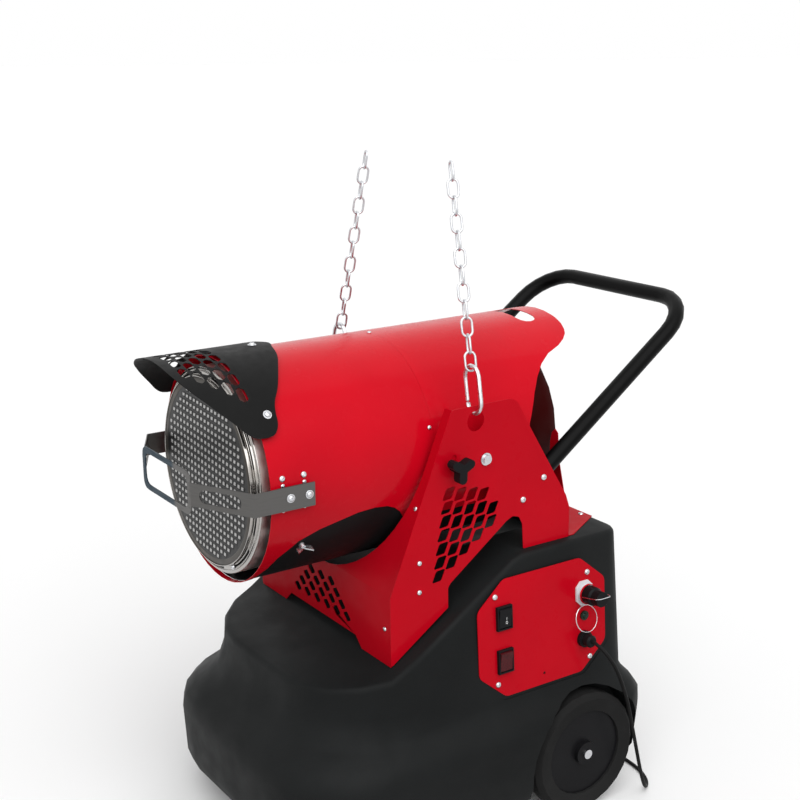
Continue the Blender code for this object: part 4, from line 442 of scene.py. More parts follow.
def seen_rays(tree):
    """One for a ray that a camera, a mirror or a pane sends out, and zero for the light on the heater."""
    path = tree.nodes.new("ShaderNodeLightPath")
    link = tree.links.new
    first, second = (tree.nodes.new("ShaderNodeMath") for _ in range(2))
    link(path.outputs["Is Camera Ray"], first.inputs[0])
    link(path.outputs["Is Glossy Ray"], first.inputs[1])
    link(first.outputs[0], second.inputs[0])
    link(path.outputs["Is Transmission Ray"], second.inputs[1])
    second.use_clamp = True
    return second.outputs[0]


def pale_floor(colour, bounce):
    """Matte floor, pale to the eye and darker for the light that it throws back."""
    made, tree, shader, _ = look_nodes("pale_floor")
    tint(tree, seen_rays(tree), shade(colour, bounce), colour, shader.inputs["Base Color"])
    fixed(shader, Roughness=0.95, Specular_IOR_Level=0.05)
    return made


looks = {}


def smoothing(degrees):
    """Modifier nodes that merge a node's loose triangles and crease only its real edges."""
    name = "soft faces %d" % degrees
    if name in bpy.data.node_groups:
        return bpy.data.node_groups[name]
    tree = bpy.data.node_groups.new(name, "GeometryNodeTree")
    link = tree.links.new
    for way in ("INPUT", "OUTPUT"):
        tree.interface.new_socket("Geometry", in_out=way, socket_type="NodeSocketGeometry")
    add = tree.nodes.new
    start, end = add("NodeGroupInput"), add("NodeGroupOutput")
    clear, merge = add("GeometryNodeRemoveAttribute"), add("GeometryNodeMergeByDistance")
    fixed(clear, Name="custom_normal")
    fixed(merge, Distance=0.00003)
    faces, edges, crease = (add("GeometryNodeSetShadeSmooth") for _ in range(3))
    faces.domain = "FACE"
    edges.domain = crease.domain = "EDGE"
    fixed(crease, Shade_Smooth=False)
    bend, test = add("GeometryNodeInputMeshEdgeAngle"), add("FunctionNodeCompare")
    test.data_type = "FLOAT"
    test.operation = "GREATER_THAN"
    test.inputs[1].default_value = math.radians(degrees)
    link(bend.outputs["Unsigned Angle"], test.inputs[0])
    link(test.outputs["Result"], crease.inputs["Selection"])
    chain = (start, clear, merge, faces, edges, crease, end)
    for a, b in zip(chain, chain[1:]):
        link(a.outputs["Geometry"], b.inputs["Geometry"])
    return tree


def dress(look, names, crease=30, width=0.0):
    """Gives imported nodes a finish, smooth faces and small rounded edges."""
    for name in names:
        made = nodes[name]
        made.data.materials.clear()
        made.data.materials.append(looks[look])
        soft = made.modifiers.new("faces", "NODES")
        soft.node_group = smoothing(crease)
        if width:
            flat = made.modifiers.new("flats", "DECIMATE")
            flat.decimate_type = "DISSOLVE"
            flat.angle_limit = math.radians(1)
            edge = made.modifiers.new("edges", "BEVEL")
            edge.width = width
            edge.segments = 2
            edge.limit_method = "ANGLE"
            edge.angle_limit = math.radians(crease + 10)
            edge.harden_normals = True


class HEATER_OT_finishes(bpy.types.Operator):
    """Makes the finishes: paints, plastics, steels and lenses"""
    bl_idname = "heater.finishes"
    bl_label = "Finishes"

    def execute(self, context):
        f = context.scene.heater_finishes
        red, black, steel, zinc = (tuple(c) for c in (f.red, f.black, f.steel, f.zinc))
        looks.update(
            red=gloss_paint("red_paint", red, f.gloss, 0.32),
            panel=gloss_paint("panel_paint", shade(red, 0.93), 0.30, 0.16),
            # The red darkened, with a rougher and thinner coat: painted shade for the front plate under the
            # burner and the rear foot plate.
            plate=gloss_paint("plate_painted_shade", shade(red, 0.86), 0.42, 0.06),
            black=satin_paint("black_paint", black, 0.42),
            handle=satin_paint("handle_paint", shade(black, 0.25), 0.36),
            tank=moulded_plastic("tank_plastic", tuple(f.plastic), 0.50),
            # The steel lightened by 1.35 for the can, cone and head: a painted sheen that stands in for the
            # can's pale reflection.
            steel=brushed_steel("steel_painted_sheen", shade(steel, 1.35), 0.42, 0.35),
            # The dimpled disc paints a highlight on each raised square and a shadow on the strip under it.
            disc=pressed_steel_painted_light("dimpled_steel", (0.004, 0.004, 0.004), (0.030, 0.030, 0.030),
                            (0.40, 0.396, 0.39)),
            border=brushed_steel("border_steel", (0.070, 0.066, 0.061), 0.38, 0.5),
            ring=brushed_steel("ring_steel", (0.42, 0.41, 0.40), 0.22, 0.3),
            # Near black for strips that stand in for the emitter ring's openings: painted shade.
            dark=satin_paint("dark_slots", (0.006, 0.006, 0.006), 0.8),
            visor=satin_paint("visor_paint", (0.0085, 0.0085, 0.0085), 0.50),
            # A near-black red for the rear drum: painted shade under the hood.
            drum=gloss_paint("drum_painted_shade", (0.030, 0.001, 0.001), 0.5, 0.03),
            # The guard's steel is darkened to 0.235 as a painted reflection of dim surroundings, and its far
            # loop gets a painted blue-grey reflection.
            guard=painted_dim_reflection(brushed_steel("guard_steel", shade(steel, 0.235), 0.42, 0.1, (1, 1, 14)),
                                (0.010, 0.030, 0.048), -0.172, 0.018, 0.012),
            zinc=bright_metal("zinc_plate", zinc, 0.22),
            chain=bright_metal("chain_zinc", zinc, 0.30),
            hard=satin_paint("black_plastic", (0.009, 0.009, 0.010), 0.34),
            white=satin_paint("white_plastic", (0.70, 0.70, 0.73), 0.40),
            red_lens=clear_lens("red_lens", (0.060, 0.004, 0.006), 0.30, 0.05),
            green_lens=clear_lens("green_lens", tuple(f.lens), 0.25, 0.10),
            rubber=moulded_plastic("cord_rubber", (0.012, 0.012, 0.012), 0.55),
            tyre=moulded_plastic("tyre_rubber", (0.016, 0.016, 0.016), 0.75),
            marks=satin_paint("white_marks", (0.75, 0.75, 0.75), 0.5))
        return {"FINISHED"}


class HEATER_OT_sheet_metal(bpy.types.Operator):
    """Finishes the support, the shells, the control plate, the guard, the handle and the skid"""
    bl_idname = "heater.sheet_metal"
    bl_label = "Sheet metal"

    def execute(self, context):
        dress("panel", ("side_panel_right", "side_panel_left", "control_plate", "trunnion_right",
                        "trunnion_left"), 30, 0.0005)
        # Both plates get the darkened red of painted shade.
        dress("plate", ("front_plate", "rear_foot_plate"), 30, 0.0005)
        dress("red", ("front_shell", "rear_hood"), 30)
        # The rear drum's near-black red is painted shade under the hood.
        dress("drum", ("rear_drum",), 30)
        dress("black", ("under_shell",), 30)
        dress("handle", ("handle", "front_skid"), 40)
        # The guard gets the darkened steel of painted reflection.
        dress("guard", ("guard", "guard_bracket_right", "guard_bracket_left"), 30, 0.0005)
        return {"FINISHED"}


class HEATER_OT_burner(bpy.types.Operator):
    """Finishes the can, cone, head, motor and fan"""
    bl_idname = "heater.burner"
    bl_label = "Burner"

    def execute(self, context):
        # The can's lightened steel is a painted sheen.
        dress("steel", ("inner_can", "combustion_cone", "burner_head"), 25)
        dress("hard", ("fan_motor",), 30)
        dress("guard", ("fan_impeller",), 30)
        return {"FINISHED"}


def pressed_sheet(across, down, field, edge, turn, rise):
    """A sheet of raised squares. Grid lines stand at set shares of every cell; a point is lifted by
    lift(u)·lift(v), where lift falls from one to zero between two shares of the cell, and the flat strip
    under each square, which is only painted as shadow, counts as minus one. The whole grid is turned a little
    in its plane. Gives the points (x, height, z), the faces inside the edge and the share of lift of each
    point, which the finish uses for its painted highlight and painted shadow."""
    marks = np.array([-0.5, -0.45, -0.29, -0.18, 0.0, 0.18, 0.29])
    count = int(field / min(across, down)) + 2
    lines = (np.arange(-count, count)[:, None] + marks).ravel()
    u, v = np.meshgrid(lines, lines)
    local_u, local_v = u - np.round(u + 1e-6), v - np.round(v + 1e-6)

    def lift(w):
        return np.clip((0.29 - np.abs(w)) / 0.11, 0, 1)

    c, s = math.cos(turn), math.sin(turn)
    x, z = u * across, v * down
    middle_x, middle_z = np.round(u + 1e-6) * across, np.round(v + 1e-6) * down
    inside = np.hypot(middle_x, middle_z) < field
    share = np.where(inside, lift(local_u) * lift(local_v), 0)
    # Flat strips under the squares, which are only painted as shadow.
    slot_shadow = inside & (np.abs(local_u) < 0.30) & (local_v < -0.28) & (local_v > -0.46)
    share = np.where(slot_shadow, -1.0, share)
    height = -rise * np.clip(share, 0, 1)
    points = np.stack([x * c + z * s, height, z * c - x * s], -1)
    faces = quads(*x.shape)[:, ::-1]
    reach = np.hypot(x, z).ravel()
    faces = faces[(reach[faces] < edge).all(1)]
    used, faces = np.unique(faces, return_inverse=True)
    return points.reshape(-1, 3)[used], face_list(faces.reshape(-1, 4)), share.ravel()[used]


def pressed_steel_painted_light(name, dark, base, square_highlight):
    """Pressed steel: dull in the field, with a painted highlight on the raised squares and painted shadow,
    near black, on the flat strips under them.
    """
    made, tree, shader, place = look_nodes(name)
    share = tree.nodes.new("ShaderNodeAttribute")
    share.attribute_name = "lift"
    value = share.outputs["Fac"]
    field = tint(tree, spread(tree, noise(tree, place, 60.0), 0, 1), shade(base, 0.8), shade(base, 1.25))
    # Painted highlight: the raised squares turn pale by their lift.
    whole = tint(tree, spread(tree, value, 0, 1, 0.15, 0.85), field, square_highlight)
    # Painted shadow: near black on the flat strips under the squares.
    tint(tree, spread(tree, value, 0, 1, -0.1, -0.6), whole, dark, shader.inputs["Base Color"])
    tree.links.new(spread(tree, noise(tree, place, 120.0), 0.30, 0.45), shader.inputs["Roughness"])
    fixed(shader, Metallic=1.0)
    return made


class HEATER_OT_emitter(bpy.types.Operator):
    """Makes the emitter: dimpled disc, its border, the stepped ring with near-black strips of painted shade
    in place of its openings, and a screw
    """
    bl_idname = "heater.emitter"
    bl_label = "Emitter"

    def execute(self, context):
        s = context.scene.heater_sizes
        round_steps = 160
        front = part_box("emitter_disc")[0].y - foot[1]
        centre = at(0, front, axis_height)
        points, faces, share = pressed_sheet(s.dimple_across, s.dimple_down, s.dimple_field,
                                             s.disc_radius - 0.004, math.radians(3.5), s.dimple_height)
        disc = piece("emitter_disc_dimples", (points + centre, faces), "disc", "burner",
                     ("emitter_disc",))
        lift = disc.data.attributes.new("lift", "FLOAT", "POINT")
        lift.data.foreach_set("value", np.ascontiguousarray(share, dtype=np.float32))
        r = s.disc_radius
        border = [(0, 0.0009), (r - 0.0100, 0.0009), (r - 0.0102, -0.0001), (r - 0.0098, -0.0004),
                  (r - 0.0012, -0.0004), (r - 0.0001, 0.0001), (r, 0.0008), (r, 0.0012), (0, 0.0012)]
        piece("emitter_disc_border", turned(border, centre, (0, 1, 0), round_steps), "border", "burner",
              crease=30)
        c = s.can_radius
        ring = [(r + 0.0006, 0.0004), (r + 0.0009, -0.0010), (r + 0.0018, -0.0015), (r + 0.0026, -0.0010),
                (r + 0.0029, 0.0002), (r + 0.0030, 0.0062), (r + 0.0036, 0.0070), (c - 0.0082, 0.0074),
                (c - 0.0076, 0.0062), (c - 0.0068, 0.0058), (c - 0.0060, 0.0062), (c - 0.0056, 0.0074),
                (c - 0.0055, 0.0088), (c - 0.0050, 0.0094), (c - 0.0012, 0.0098), (c - 0.0003, 0.0102),
                (c, 0.0110), (c, 0.0118), (c - 0.0010, 0.0119), (c - 0.0070, 0.0106), (r + 0.0030, 0.0088),
                (r + 0.0012, 0.0066), (r + 0.0006, 0.0018)]
        piece("emitter_steps", turned_ring(ring, centre, (0, 1, 0), round_steps), "ring", "burner",
              ("emitter_ring",), 30)
        # Thin near-black strips on the ring's face stand in for its openings: painted shade, not cut.
        slot_shades = []
        inner, outer, slot_count, slot_length = r + 0.0048, c - 0.0094, 9, 27
        for i in range(slot_count):
            angle = np.radians(360 / slot_count * i + 8 + np.linspace(0, slot_length, 14))
            way = np.stack([np.sin(angle), 0 * angle, np.cos(angle)], -1)
            low, high = centre + way * inner, centre + way * outer
            near, far = np.array([0, 0.0067, 0]), np.array([0, 0.0072, 0])
            lines = np.stack([low + far, low + near, high + near, high + far], 1)
            slot_shades.append(grid(lines, wrap_columns=True, caps=True))
        piece("emitter_slot_shades", together(slot_shades), "dark", "burner")
        angle = math.radians(154)
        place = centre + np.array([math.sin(angle), 0, math.cos(angle)]) * (r + 0.0065) + (0, 0.0064, 0)
        piece("emitter_screw", screw(place, (0, -1, 0), 0.0042, 0.0058), "zinc", "burner")
        return {"FINISHED"}


# The visor: its half turn in degrees, its sheet, and its front and rear edges, as angle from the top in
# degrees and y from the support's front foot
visor_end = 61.5
visor_thick = 0.0013
visor_front = [(0, -0.3275), (10, -0.3270), (18, -0.3252), (25, -0.3190), (31, -0.3112), (36.5, -0.3000),
               (42.3, -0.2865), (48, -0.2710), (53.3, -0.2555), (57.2, -0.2440), (59.6, -0.2345),
               (61, -0.2250), (visor_end, -0.2150)]
visor_rear = [(0, -0.0950), (3, -0.0975), (6.7, -0.1027), (16.4, -0.1124), (25.8, -0.1294), (38, -0.1530),
              (45, -0.1700), (50, -0.1765), (55.5, -0.1795), (59, -0.1855), (60.9, -0.1935),
              (visor_end, -0.2030)]
# Screws and spacers of the visor, as angle and y, and where the spacers start from the burner's axis
visor_screws = ((51, -0.1940), (-51, -0.1940), (0, -0.1300))
spacer_foot = 0.2092


def soft_edge(points, angles):
    """An edge's y at each angle, on a smooth curve through the measured points, the same on both sides."""
    p = np.array(points)
    both = np.concatenate([p[:0:-1] * (-1, 1), p])
    line = smooth_line(np.column_stack([both * (0.01, 1), 0 * both[:, 0]]), 0.002)
    order = np.argsort(line[:, 0])
    return np.interp(angles, line[order, 0] * 100, line[order, 1])


def visor_cells(radius):
    """Rounded six-sided cells of the visor in staggered rows, each as a prism through the sheet."""
    tip, side, half = 0.0168, 0.0104, 0.0082
    corners = np.array([(-tip, 0), (-side, -half), (side, -half), (tip, 0), (side, half), (-side, half)])
    before, after = np.roll(corners, 1, 0), np.roll(corners, -1, 0)
    cut, row_pitch, cell_pitch = 0.0021, 0.0190, 0.0370
    first_row, first_reach = -0.2230, 0.1485
    first, last = corners + unit(before - corners) * cut, corners + unit(after - corners) * cut
    t = np.array([0, 0.5, 1])[:, None]
    soft = np.concatenate([(1 - t) ** 2 * a + 2 * t * (1 - t) * b + t ** 2 * c
                           for a, b, c in zip(first, corners, last)])
    prisms = []
    for row in range(5):
        y = first_row - row_pitch * row
        shift = cell_pitch / 2 if row % 2 else 0.0
        for k in range(-5, 6):
            arc = cell_pitch * k + shift
            if abs(arc) > first_reach - cell_pitch / 2 * row:
                continue
            degrees = np.degrees((arc + soft[:, 0]) / radius)
            levels = [on_shell(degrees, y + soft[:, 1], r) for r in (radius - 0.008, radius + 0.008)]
            prisms.append(grid(np.stack(levels), wrap_columns=True, caps=True))
    return together(prisms)


class HEATER_OT_visor(bpy.types.Operator):
    """Makes the visor: a rolled sheet with a honeycomb of holes, on three spacers"""
    bl_idname = "heater.visor"
    bl_label = "Visor"

    def execute(self, context):
        radius = context.scene.heater_sizes.visor_radius
        angles = np.concatenate([np.linspace(-visor_end, -56, 12)[:-1], np.linspace(-56, 56, 91),
                                 np.linspace(56, visor_end, 12)[1:]])
        front, rear = soft_edge(visor_front, angles), soft_edge(visor_rear, angles)
        t = np.linspace(0, 1, 25)[:, None]
        y = front + (rear - front) * t
        outer, inner = (on_shell(angles + 0 * y, y, r) for r in (radius, radius - visor_thick))
        loop = np.concatenate([outer, inner[::-1]])
        points, faces = grid(loop, wrap_rows=True)
        rows, columns = loop.shape[:2]
        for column, way in ((0, 1), (columns - 1, -1)):
            for i in range(rows // 2 - 1):
                corners = [i * columns + column, (i + 1) * columns + column,
                           (rows - 2 - i) * columns + column, (rows - 1 - i) * columns + column]
                faces.append(tuple(corners[::way]))
        sheet = outward(points, faces, "visor_sheet")
        cutter = outward(*visor_cells(radius), "visor_cutter")
        cut = sheet.modifiers.new("cells", "BOOLEAN")
        cut.operation = "DIFFERENCE"
        cut.object = cutter
        graph = context.evaluated_depsgraph_get()
        whole = bpy.data.meshes.new_from_object(sheet.evaluated_get(graph))
        for spare in (sheet, cutter):
            bpy.data.objects.remove(spare)
        shapes = [mesh_shape(whole)]
        for degrees, y in visor_screws:
            base = on_shell(degrees, y, spacer_foot)
            top = radius - visor_thick - spacer_foot - 0.0002
            shapes.append(turned([(0.0060, 0), (0.0070, 0.0006), (0.0070, top)], base,
                                 base - on_shell(degrees, y, 0), 24))
        piece("visor_sheet", together(shapes), "visor", "burner", ("visor",))
        return {"FINISHED"}


class HEATER_OT_tank(bpy.types.Operator):
    """Finishes the tank and the filler cap"""
    bl_idname = "heater.tank"
    bl_label = "Tank"

    def execute(self, context):
        dress("tank", ("tank",), 38)
        dress("hard", ("filler_cap",), 30, 0.0006)
        return {"FINISHED"}


class HEATER_OT_running_gear(bpy.types.Operator):
    """Finishes wheels, axle and tyres"""
    bl_idname = "heater.running_gear"
    bl_label = "Running gear"

    def execute(self, context):
        dress("tyre", ("tyre_right", "tyre_left"), 35)
        dress("hard", ("wheel_hub_right", "wheel_hub_left"), 30)
        dress("zinc", ("axle",), 30)
        return {"FINISHED"}


class HEATER_OT_controls(bpy.types.Operator):
    """Finishes switches, socket, plug, lamp, gland, knobs and bolts, and adds switch marks and a collar"""
    bl_idname = "heater.controls"
    bl_label = "Controls"

    def execute(self, context):
        dress("hard", ("switch_housing_upper", "switch_housing_lower", "switch_rocker_upper",
                       "thermostat_plug", "cable_gland", "lock_knob_right", "lock_knob_left",
                       "control_box"), 30, 0.0005)
        dress("red_lens", ("switch_rocker_lower",), 30, 0.0005)
        dress("green_lens", ("indicator_lamp",), 30)
        dress("white", ("thermostat_socket",), 30, 0.0004)
        dress("guard", ("ignition_board",), 30)
        dress("zinc", ("pivot_bolt_right", "pivot_bolt_left", "wing_screw_right", "wing_screw_left",
                       "plug_bail", "lanyard_ring"), 30)
        angle = np.linspace(0, 2 * math.pi, 20, endpoint=False)
        bar = np.stack([0 * np.linspace(0, 1, 6), np.linspace(0.0014, 0.0064, 6)], -1)
        ring = np.stack([0.0019 * np.cos(angle), -0.0042 + 0.0027 * np.sin(angle)], -1)
        middle = at(0.2835, 0.2300, 0.0520)
        signs = [carried(on_face("switch_rocker_upper", middle, line), 0.00050, 6, closed)
                 for line, closed in ((bar, False), (ring, True))]
        piece("switch_marks", together(signs), "marks", "rocker_upper", crease=60)
        low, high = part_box("thermostat_socket")
        centre = (np.array(low) + np.array(high)) / 2
        centre = centre + plate_out * (high[0] - centre[0] - 0.0016)
        collar = [(0.0187, 0), (0.0187, 0.0026), (0.0190, 0.0030), (0.0200, 0.0030), (0.0203, 0.0026),
                  (0.0203, 0)]
        piece("socket_collar", turned_ring(collar, centre, plate_out, 48), "panel", "base")
        return {"FINISHED"}


def on_face(node, middle, line):
    """A flat line of y and z shares laid on a node's right-hand face, by rays along x."""
    points, faces = mesh_shape(nodes[node].data)
    tree = BVHTree.FromPolygons(points.tolist(), faces)
    laid = []
    for y, z in line:
        hit = tree.ray_cast(Vector((middle[0] + 0.05, middle[1] + y, middle[2] + z)), Vector((-1, 0, 0)))
        laid.append(hit[0])
    return np.array(laid) + (0.0001, 0, 0)


def link_path(half, length, steps):
    """Centre line of one link in its plane: two half circles joined by straight sides."""
    angle = np.linspace(0, math.pi, steps)
    top = np.stack([half * np.cos(angle), length / 2 - half + half * np.sin(angle)], -1)
    return np.concatenate([top, -top])


# The slings: height and wire of a hook, play of the first link, inside length and half width of a link
hook_height, hook_wire, link_play = 0.0870, 0.0040, 0.0009
link_inside, link_half, link_count = 0.0300, 0.0098, 12


class HEATER_OT_slings(bpy.types.Operator):
    """Makes the two chains of round-wire links and finishes their hooks"""
    bl_idname = "heater.slings"
    bl_label = "Slings"

    def execute(self, context):
        wire = context.scene.heater_sizes.link_wire
        dress("chain", ("carabiner_right", "carabiner_left", "carabiner_gate_right",
                        "carabiner_gate_left"), 30)
        for side, label in ((1, "right"), (-1, "left")):
            up = unit((-side * 0.235, 0.046, 1))
            out = np.array([side, 0.0, 0.0])
            out = unit(out - up * (out @ up))
            depth = np.cross(up, out)
            hang = at(side * 0.24425, 0.1895, 0.4496)
            start = hang + up * (hook_height - hook_wire - wire - link_play)
            pitch = link_inside + wire * 0.5
            flat_path = link_path(link_half, link_inside + wire * 2 + 0.0002, 12)
            links = []
            for i in range(link_count):
                flat = (depth + out * 0.35) if i % 2 == 0 else (out - depth * 0.35)
                flat = unit(flat - up * (flat @ up))
                base = start + up * (pitch * i + link_inside / 2)
                path = base + flat_path[:, :1] * flat + flat_path[:, 1:] * up
                links.append(carried(path, wire, 10, closed=True))
            piece("chain_links_" + label, together(links), "chain", "chain_" + label,
                  ("chain_" + label,), 60)
        return {"FINISHED"}


def screw(place, out, radius, washer=0.0):
    """A pan-head screw: a domed head with a small sunk middle, on a washer if asked."""
    height = radius * 0.62
    base, profile = 0.0, [(radius * 0.96, -0.0004)]
    if washer:
        base = 0.0014
        profile = [(washer * 0.98, -0.0003), (washer, 0.0001), (washer, 0.0011), (washer * 0.96, base)]
    angles = np.linspace(0, math.pi / 2, 4, endpoint=False)
    profile += [(radius * math.cos(a) ** 0.6, base + height * math.sin(a)) for a in angles]
    profile += [(radius * 0.30, base + height * 0.99), (radius * 0.26, base + height * 0.45)]
    return turned(profile, place, out, 20)


def shell_screw(degrees, y, reach, radius, washer=0.0):
    """A screw that stands on the burner at a distance from its axis."""
    place = on_shell(degrees, y, reach)
    return screw(place, place - on_shell(degrees, y, 0), radius, washer)


class HEATER_OT_screws(bpy.types.Operator):
    """Adds the screws of panels, shells, visor, guard and control plate"""
    bl_idname = "heater.screws"
    bl_label = "Screws"

    def execute(self, context):
        sizes = context.scene.heater_sizes
        r, shell = sizes.screw_radius, sizes.shell_radius + 0.0002
        panel_face, bracket_face = 0.2450, 0.2191
        slope = unit((0, -0.3270, 0.1360))
        heads = []
        for side in (1, -1):
            for y, z, share in ((0.3500, 0.2984, 1.4), (0.3006, 0.2635, 1.4), (0.0637, 0.1896, 1.1),
                                (0.0631, 0.1332, 1.1)):
                heads.append(screw(at(side * panel_face, y, z), (side, 0, 0), r * share))
            heads.append(screw(at(side * 0.2260, 0, 0.0710), (0, -1, 0), r))
            heads.append(screw(at(side * 0.1650, 0.5150, 0.1662), (0, 0, 1), r * 1.2))
            heads.append(screw(at(side * 0.2340, 0.0640, 0.2909) + slope * 0.0001, slope, r))
        for y, z in ((0.2090, 0.1000), (0.4340, 0.0980), (0.4375, -0.0770), (0.2110, -0.0745)):
            place = at(*plate_middle) + (0, y - plate_middle[1], 0) + plate_up * (z - plate_middle[2])
            heads.append(screw(place, plate_out, r * 1.3))
        piece("base_screws", together(heads), "zinc", "base")
        heads = [shell_screw(degrees, 0.1200, shell, r * 0.9) for degrees in (0, 71, -71)]
        heads += [shell_screw(degrees, y, sizes.visor_radius, r * 1.25, r * 1.75)
                  for degrees, y in visor_screws]
        for side in (1, -1):
            for y in (-0.1900, -0.1480):
                for z in (0.3890, 0.3765, 0.3325):
                    degrees = side * math.degrees(math.acos((z - axis_height) / sizes.shell_radius))
                    heads.append(shell_screw(degrees, y, shell, r * (1.25 if z > 0.38 else 0.9)))
            for y in (-0.1810, -0.1445):
                heads.append(screw(at(side * bracket_face, y, 0.3560), (side, 0, 0), r * 1.25, r * 1.7))
        piece("burner_screws", together(heads), "zinc", "burner")
        return {"FINISHED"}


# The cord: front of the gland, middle of the plug over the floor, and the coil's middle, its outer radius,
# the way in for each turn, the height of a layer and the turns in each of its two layers
gland_face, plug_height = 0.0283, 0.015
coil_at, coil_radius, coil_pitch, coil_layer, coil_turns = (-0.0227, 0.700), 0.0567, 0.0090, 0.0079, 3
# Route of the free stretch, from the gland to the start of the coil
cord_places = [(0.3400, 0.4260, -0.0420), (0.3490, 0.4340, -0.0560), (0.3550, 0.4470, -0.0800),
               (0.3575, 0.4620, -0.1150), (0.3580, 0.4780, -0.1600), (0.3575, 0.4930, -0.2150),
               (0.3560, 0.5080, -0.2700), (0.3520, 0.5250, -0.3250), (0.3430, 0.5450, -0.3680),
               (0.3290, 0.5660, -0.3885), (0.3080, 0.5860, -0.3911), (0.2700, 0.6020, -0.3911),
               (0.2200, 0.6080, -0.3911), (0.1650, 0.6080, -0.3911), (0.1150, 0.6120, -0.3911),
               (0.0720, 0.6280, -0.3911), (0.0430, 0.6550, -0.3911)]


def smooth_line(points, step):
    """Points at an even step on a smooth curve through the given ones (each span is a cubic whose ends
    follow the neighbours' direction)."""
    p = np.asarray(points, float)
    guide = np.concatenate([[2 * p[0] - p[1]], p, [2 * p[-1] - p[-2]]])
    t = np.linspace(0, 1, 24, endpoint=False)[None, :, None]
    a, b, c, d = (guide[i:len(guide) - 3 + i][:, None] for i in range(4))
    dense = (2 * b + (c - a) * t + (2 * a - 5 * b + 4 * c - d) * t ** 2
             + (3 * b - a - 3 * c + d) * t ** 3) / 2
    dense = np.concatenate([dense.reshape(-1, 3), p[-1:]])
    run = np.concatenate([[0], np.cumsum(np.linalg.norm(np.diff(dense, axis=0), axis=1))])
    goal = np.linspace(0, run[-1], max(2, round(run[-1] / step) + 1))
    return np.stack([np.interp(goal, run, dense[:, i]) for i in range(3)], -1)


class HEATER_OT_cord(bpy.types.Operator):
    """Makes the mains cord with its coil, and finishes the plug"""
    bl_idname = "heater.cord"
    bl_label = "Mains cord"

    def execute(self, context):
        radius = context.scene.heater_sizes.cord_radius
        floor = radius - foot[2] + 0.0003
        gland = plate_middle + np.array([0, 0.0990, 0]) + plate_up * -0.0495
        start = gland + plate_out * gland_face
        lead = gland + plate_out * (gland_face + 2 * radius)
        coil_start = np.array([coil_at[0] + coil_radius, coil_at[1], floor])
        route = [start, lead] + cord_places + [coil_start - (0, 2 * radius, 0), coil_start]
        free = smooth_line(route, 0.008)
        inward, climb = 2 * math.pi * coil_turns, math.pi
        angle = np.linspace(0, 2 * inward + climb, 36 * (2 * coil_turns + 1))[1:]
        into = np.minimum(angle, inward) / (2 * math.pi)
        back = np.maximum(0, angle - inward - climb) / (2 * math.pi)
        lift = np.clip((angle - inward) / climb, 0, 1)
        reach = coil_radius - coil_pitch * (into - back)
        coil = np.stack([coil_at[0] + reach * np.cos(angle), coil_at[1] + reach * np.sin(angle),
                         floor + coil_layer * lift], -1)
        t = np.linspace(0, 1, 9)[1:, None]
        ease = t * t * (3 - 2 * t)
        rise = plug_height - radius - coil_layer
        tail = coil[-1] + t * np.array([0, -0.030, 0]) + ease * np.array([0, 0, rise])
        end = tail[-1] - (0, 2 * radius, 0)
        path = np.concatenate([free, coil, tail, [end]]) + foot
        curve = bpy.data.curves.new("mains_lead", "CURVE")
        curve.dimensions = "3D"
        curve.bevel_depth = radius
        curve.bevel_resolution = 4
        curve.use_fill_caps = True
        spline = curve.splines.new("POLY")
        spline.points.add(len(path) - 1)
        spline.points.foreach_set("co", np.concatenate([path, np.ones((len(path), 1))], 1).ravel())
        spline.use_smooth = True
        curve.materials.append(looks["rubber"])
        lead_piece = placed("mains_lead", curve)
        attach(lead_piece, "base")
        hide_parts("mains_cord", "mains_coil")
        dress("rubber", ("mains_plug",), 35, 0.0006)
        return {"FINISHED"}


def seen_from(azimuth, height):
    """The way to a place at an azimuth round from the front and at a height over the floor."""
    return Vector((math.sin(azimuth) * math.cos(height), -math.cos(azimuth) * math.cos(height),
                   math.sin(height)))


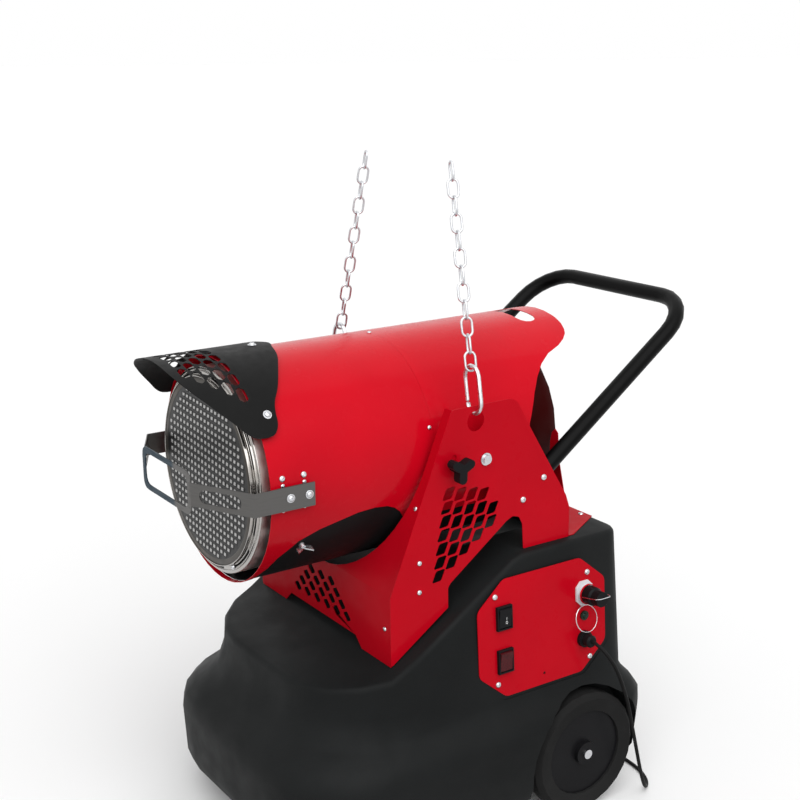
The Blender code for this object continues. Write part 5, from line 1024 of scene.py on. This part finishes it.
class HEATER_OT_stage(bpy.types.Operator):
    """Sets the floor, the lamps, the world and the camera"""
    bl_idname = "heater.stage"
    bl_label = "Stage"

    def execute(self, context):
        scene = context.scene
        s = scene.heater_stage
        a, e, r = s.azimuth, s.elevation, s.roll
        ahead = -seen_from(a, e)
        right = Vector((math.cos(a), math.sin(a), 0))
        up = right.cross(ahead)
        right, up = (right * math.cos(r) + up * math.sin(r), up * math.cos(r) - right * math.sin(r))
        data = bpy.data.cameras.new("camera")
        data.sensor_width = 36
        data.lens = s.lens
        data.clip_end = 60
        camera = placed("camera", data)
        camera.matrix_world = Matrix.Translation(s.camera_place) @ Matrix((
            (right.x, up.x, -ahead.x), (right.y, up.y, -ahead.y), (right.z, up.z, -ahead.z))).to_4x4()
        scene.camera = camera
        reach = 90.0
        corners = [(x * reach, y * reach, 0) for x, y in ((-1, -1), (1, -1), (1, 1), (-1, 1))]
        floor = bpy.data.meshes.new("floor")
        floor.from_pydata(corners, [], [(0, 1, 2, 3)])
        plane = placed("floor", floor)
        floor.materials.append(pale_floor(tuple(s.floor), s.bounce))
        world = bpy.data.worlds.new("studio")
        world.use_nodes = True
        scene.world = world
        tree = world.node_tree
        backs = tree.nodes["Background"]
        fixed(backs, Color=(1, 1, 1, 1))
        tree.links.new(spread(tree, seen_rays(tree), s.sky, 1.0, 0, 1), backs.inputs["Strength"])
        lamps = (("key", 72, 46, 75, s.key), ("front", 5, 35, 80, s.front), ("rear", 235, 50, 80, s.rear))
        for name, side, height, angle, power in lamps:
            lamp = bpy.data.lights.new(name, "SUN")
            lamp.angle = math.radians(angle)
            lamp.energy = power
            way = seen_from(math.radians(side), math.radians(height))
            placed(name, lamp).rotation_euler = way.to_track_quat("Z", "Y").to_euler()
        scene.view_settings.view_transform = "Standard"
        return {"FINISHED"}


steps = (HEATER_OT_finishes, HEATER_OT_stage, HEATER_OT_cord, HEATER_OT_sheet_metal, HEATER_OT_burner,
         HEATER_OT_emitter, HEATER_OT_visor, HEATER_OT_tank, HEATER_OT_running_gear,
         HEATER_OT_controls, HEATER_OT_slings, HEATER_OT_screws)


class HEATER_PT_panel(bpy.types.Panel):
    """Lists the heater's pieces"""
    bl_idname = "HEATER_PT_panel"
    bl_label = "Infrared heater"
    bl_space_type = "VIEW_3D"
    bl_region_type = "UI"
    bl_category = "Heater"

    def draw(self, context):
        for step in steps:
            self.layout.operator(step.bl_idname)
        for group in (context.scene.heater_finishes, context.scene.heater_sizes, context.scene.heater_stage):
            for key in group.__annotations__:
                self.layout.prop(group, key)


groups = (("heater_finishes", HeaterFinishes), ("heater_sizes", HeaterSizes), ("heater_stage", HeaterStage))


def register():
    for name, group in groups:
        bpy.utils.register_class(group)
        setattr(bpy.types.Scene, name, bpy.props.PointerProperty(type=group))
    for step in steps:
        bpy.utils.register_class(step)
    bpy.utils.register_class(HEATER_PT_panel)


def unregister():
    bpy.utils.unregister_class(HEATER_PT_panel)
    for step in reversed(steps):
        bpy.utils.unregister_class(step)
    for name, group in reversed(groups):
        delattr(bpy.types.Scene, name)
        bpy.utils.unregister_class(group)


def main():
    register()
    for step in steps:
        part, name = step.bl_idname.split(".")
        getattr(getattr(bpy.ops, part), name)()


if __name__ == "__main__":
    main()
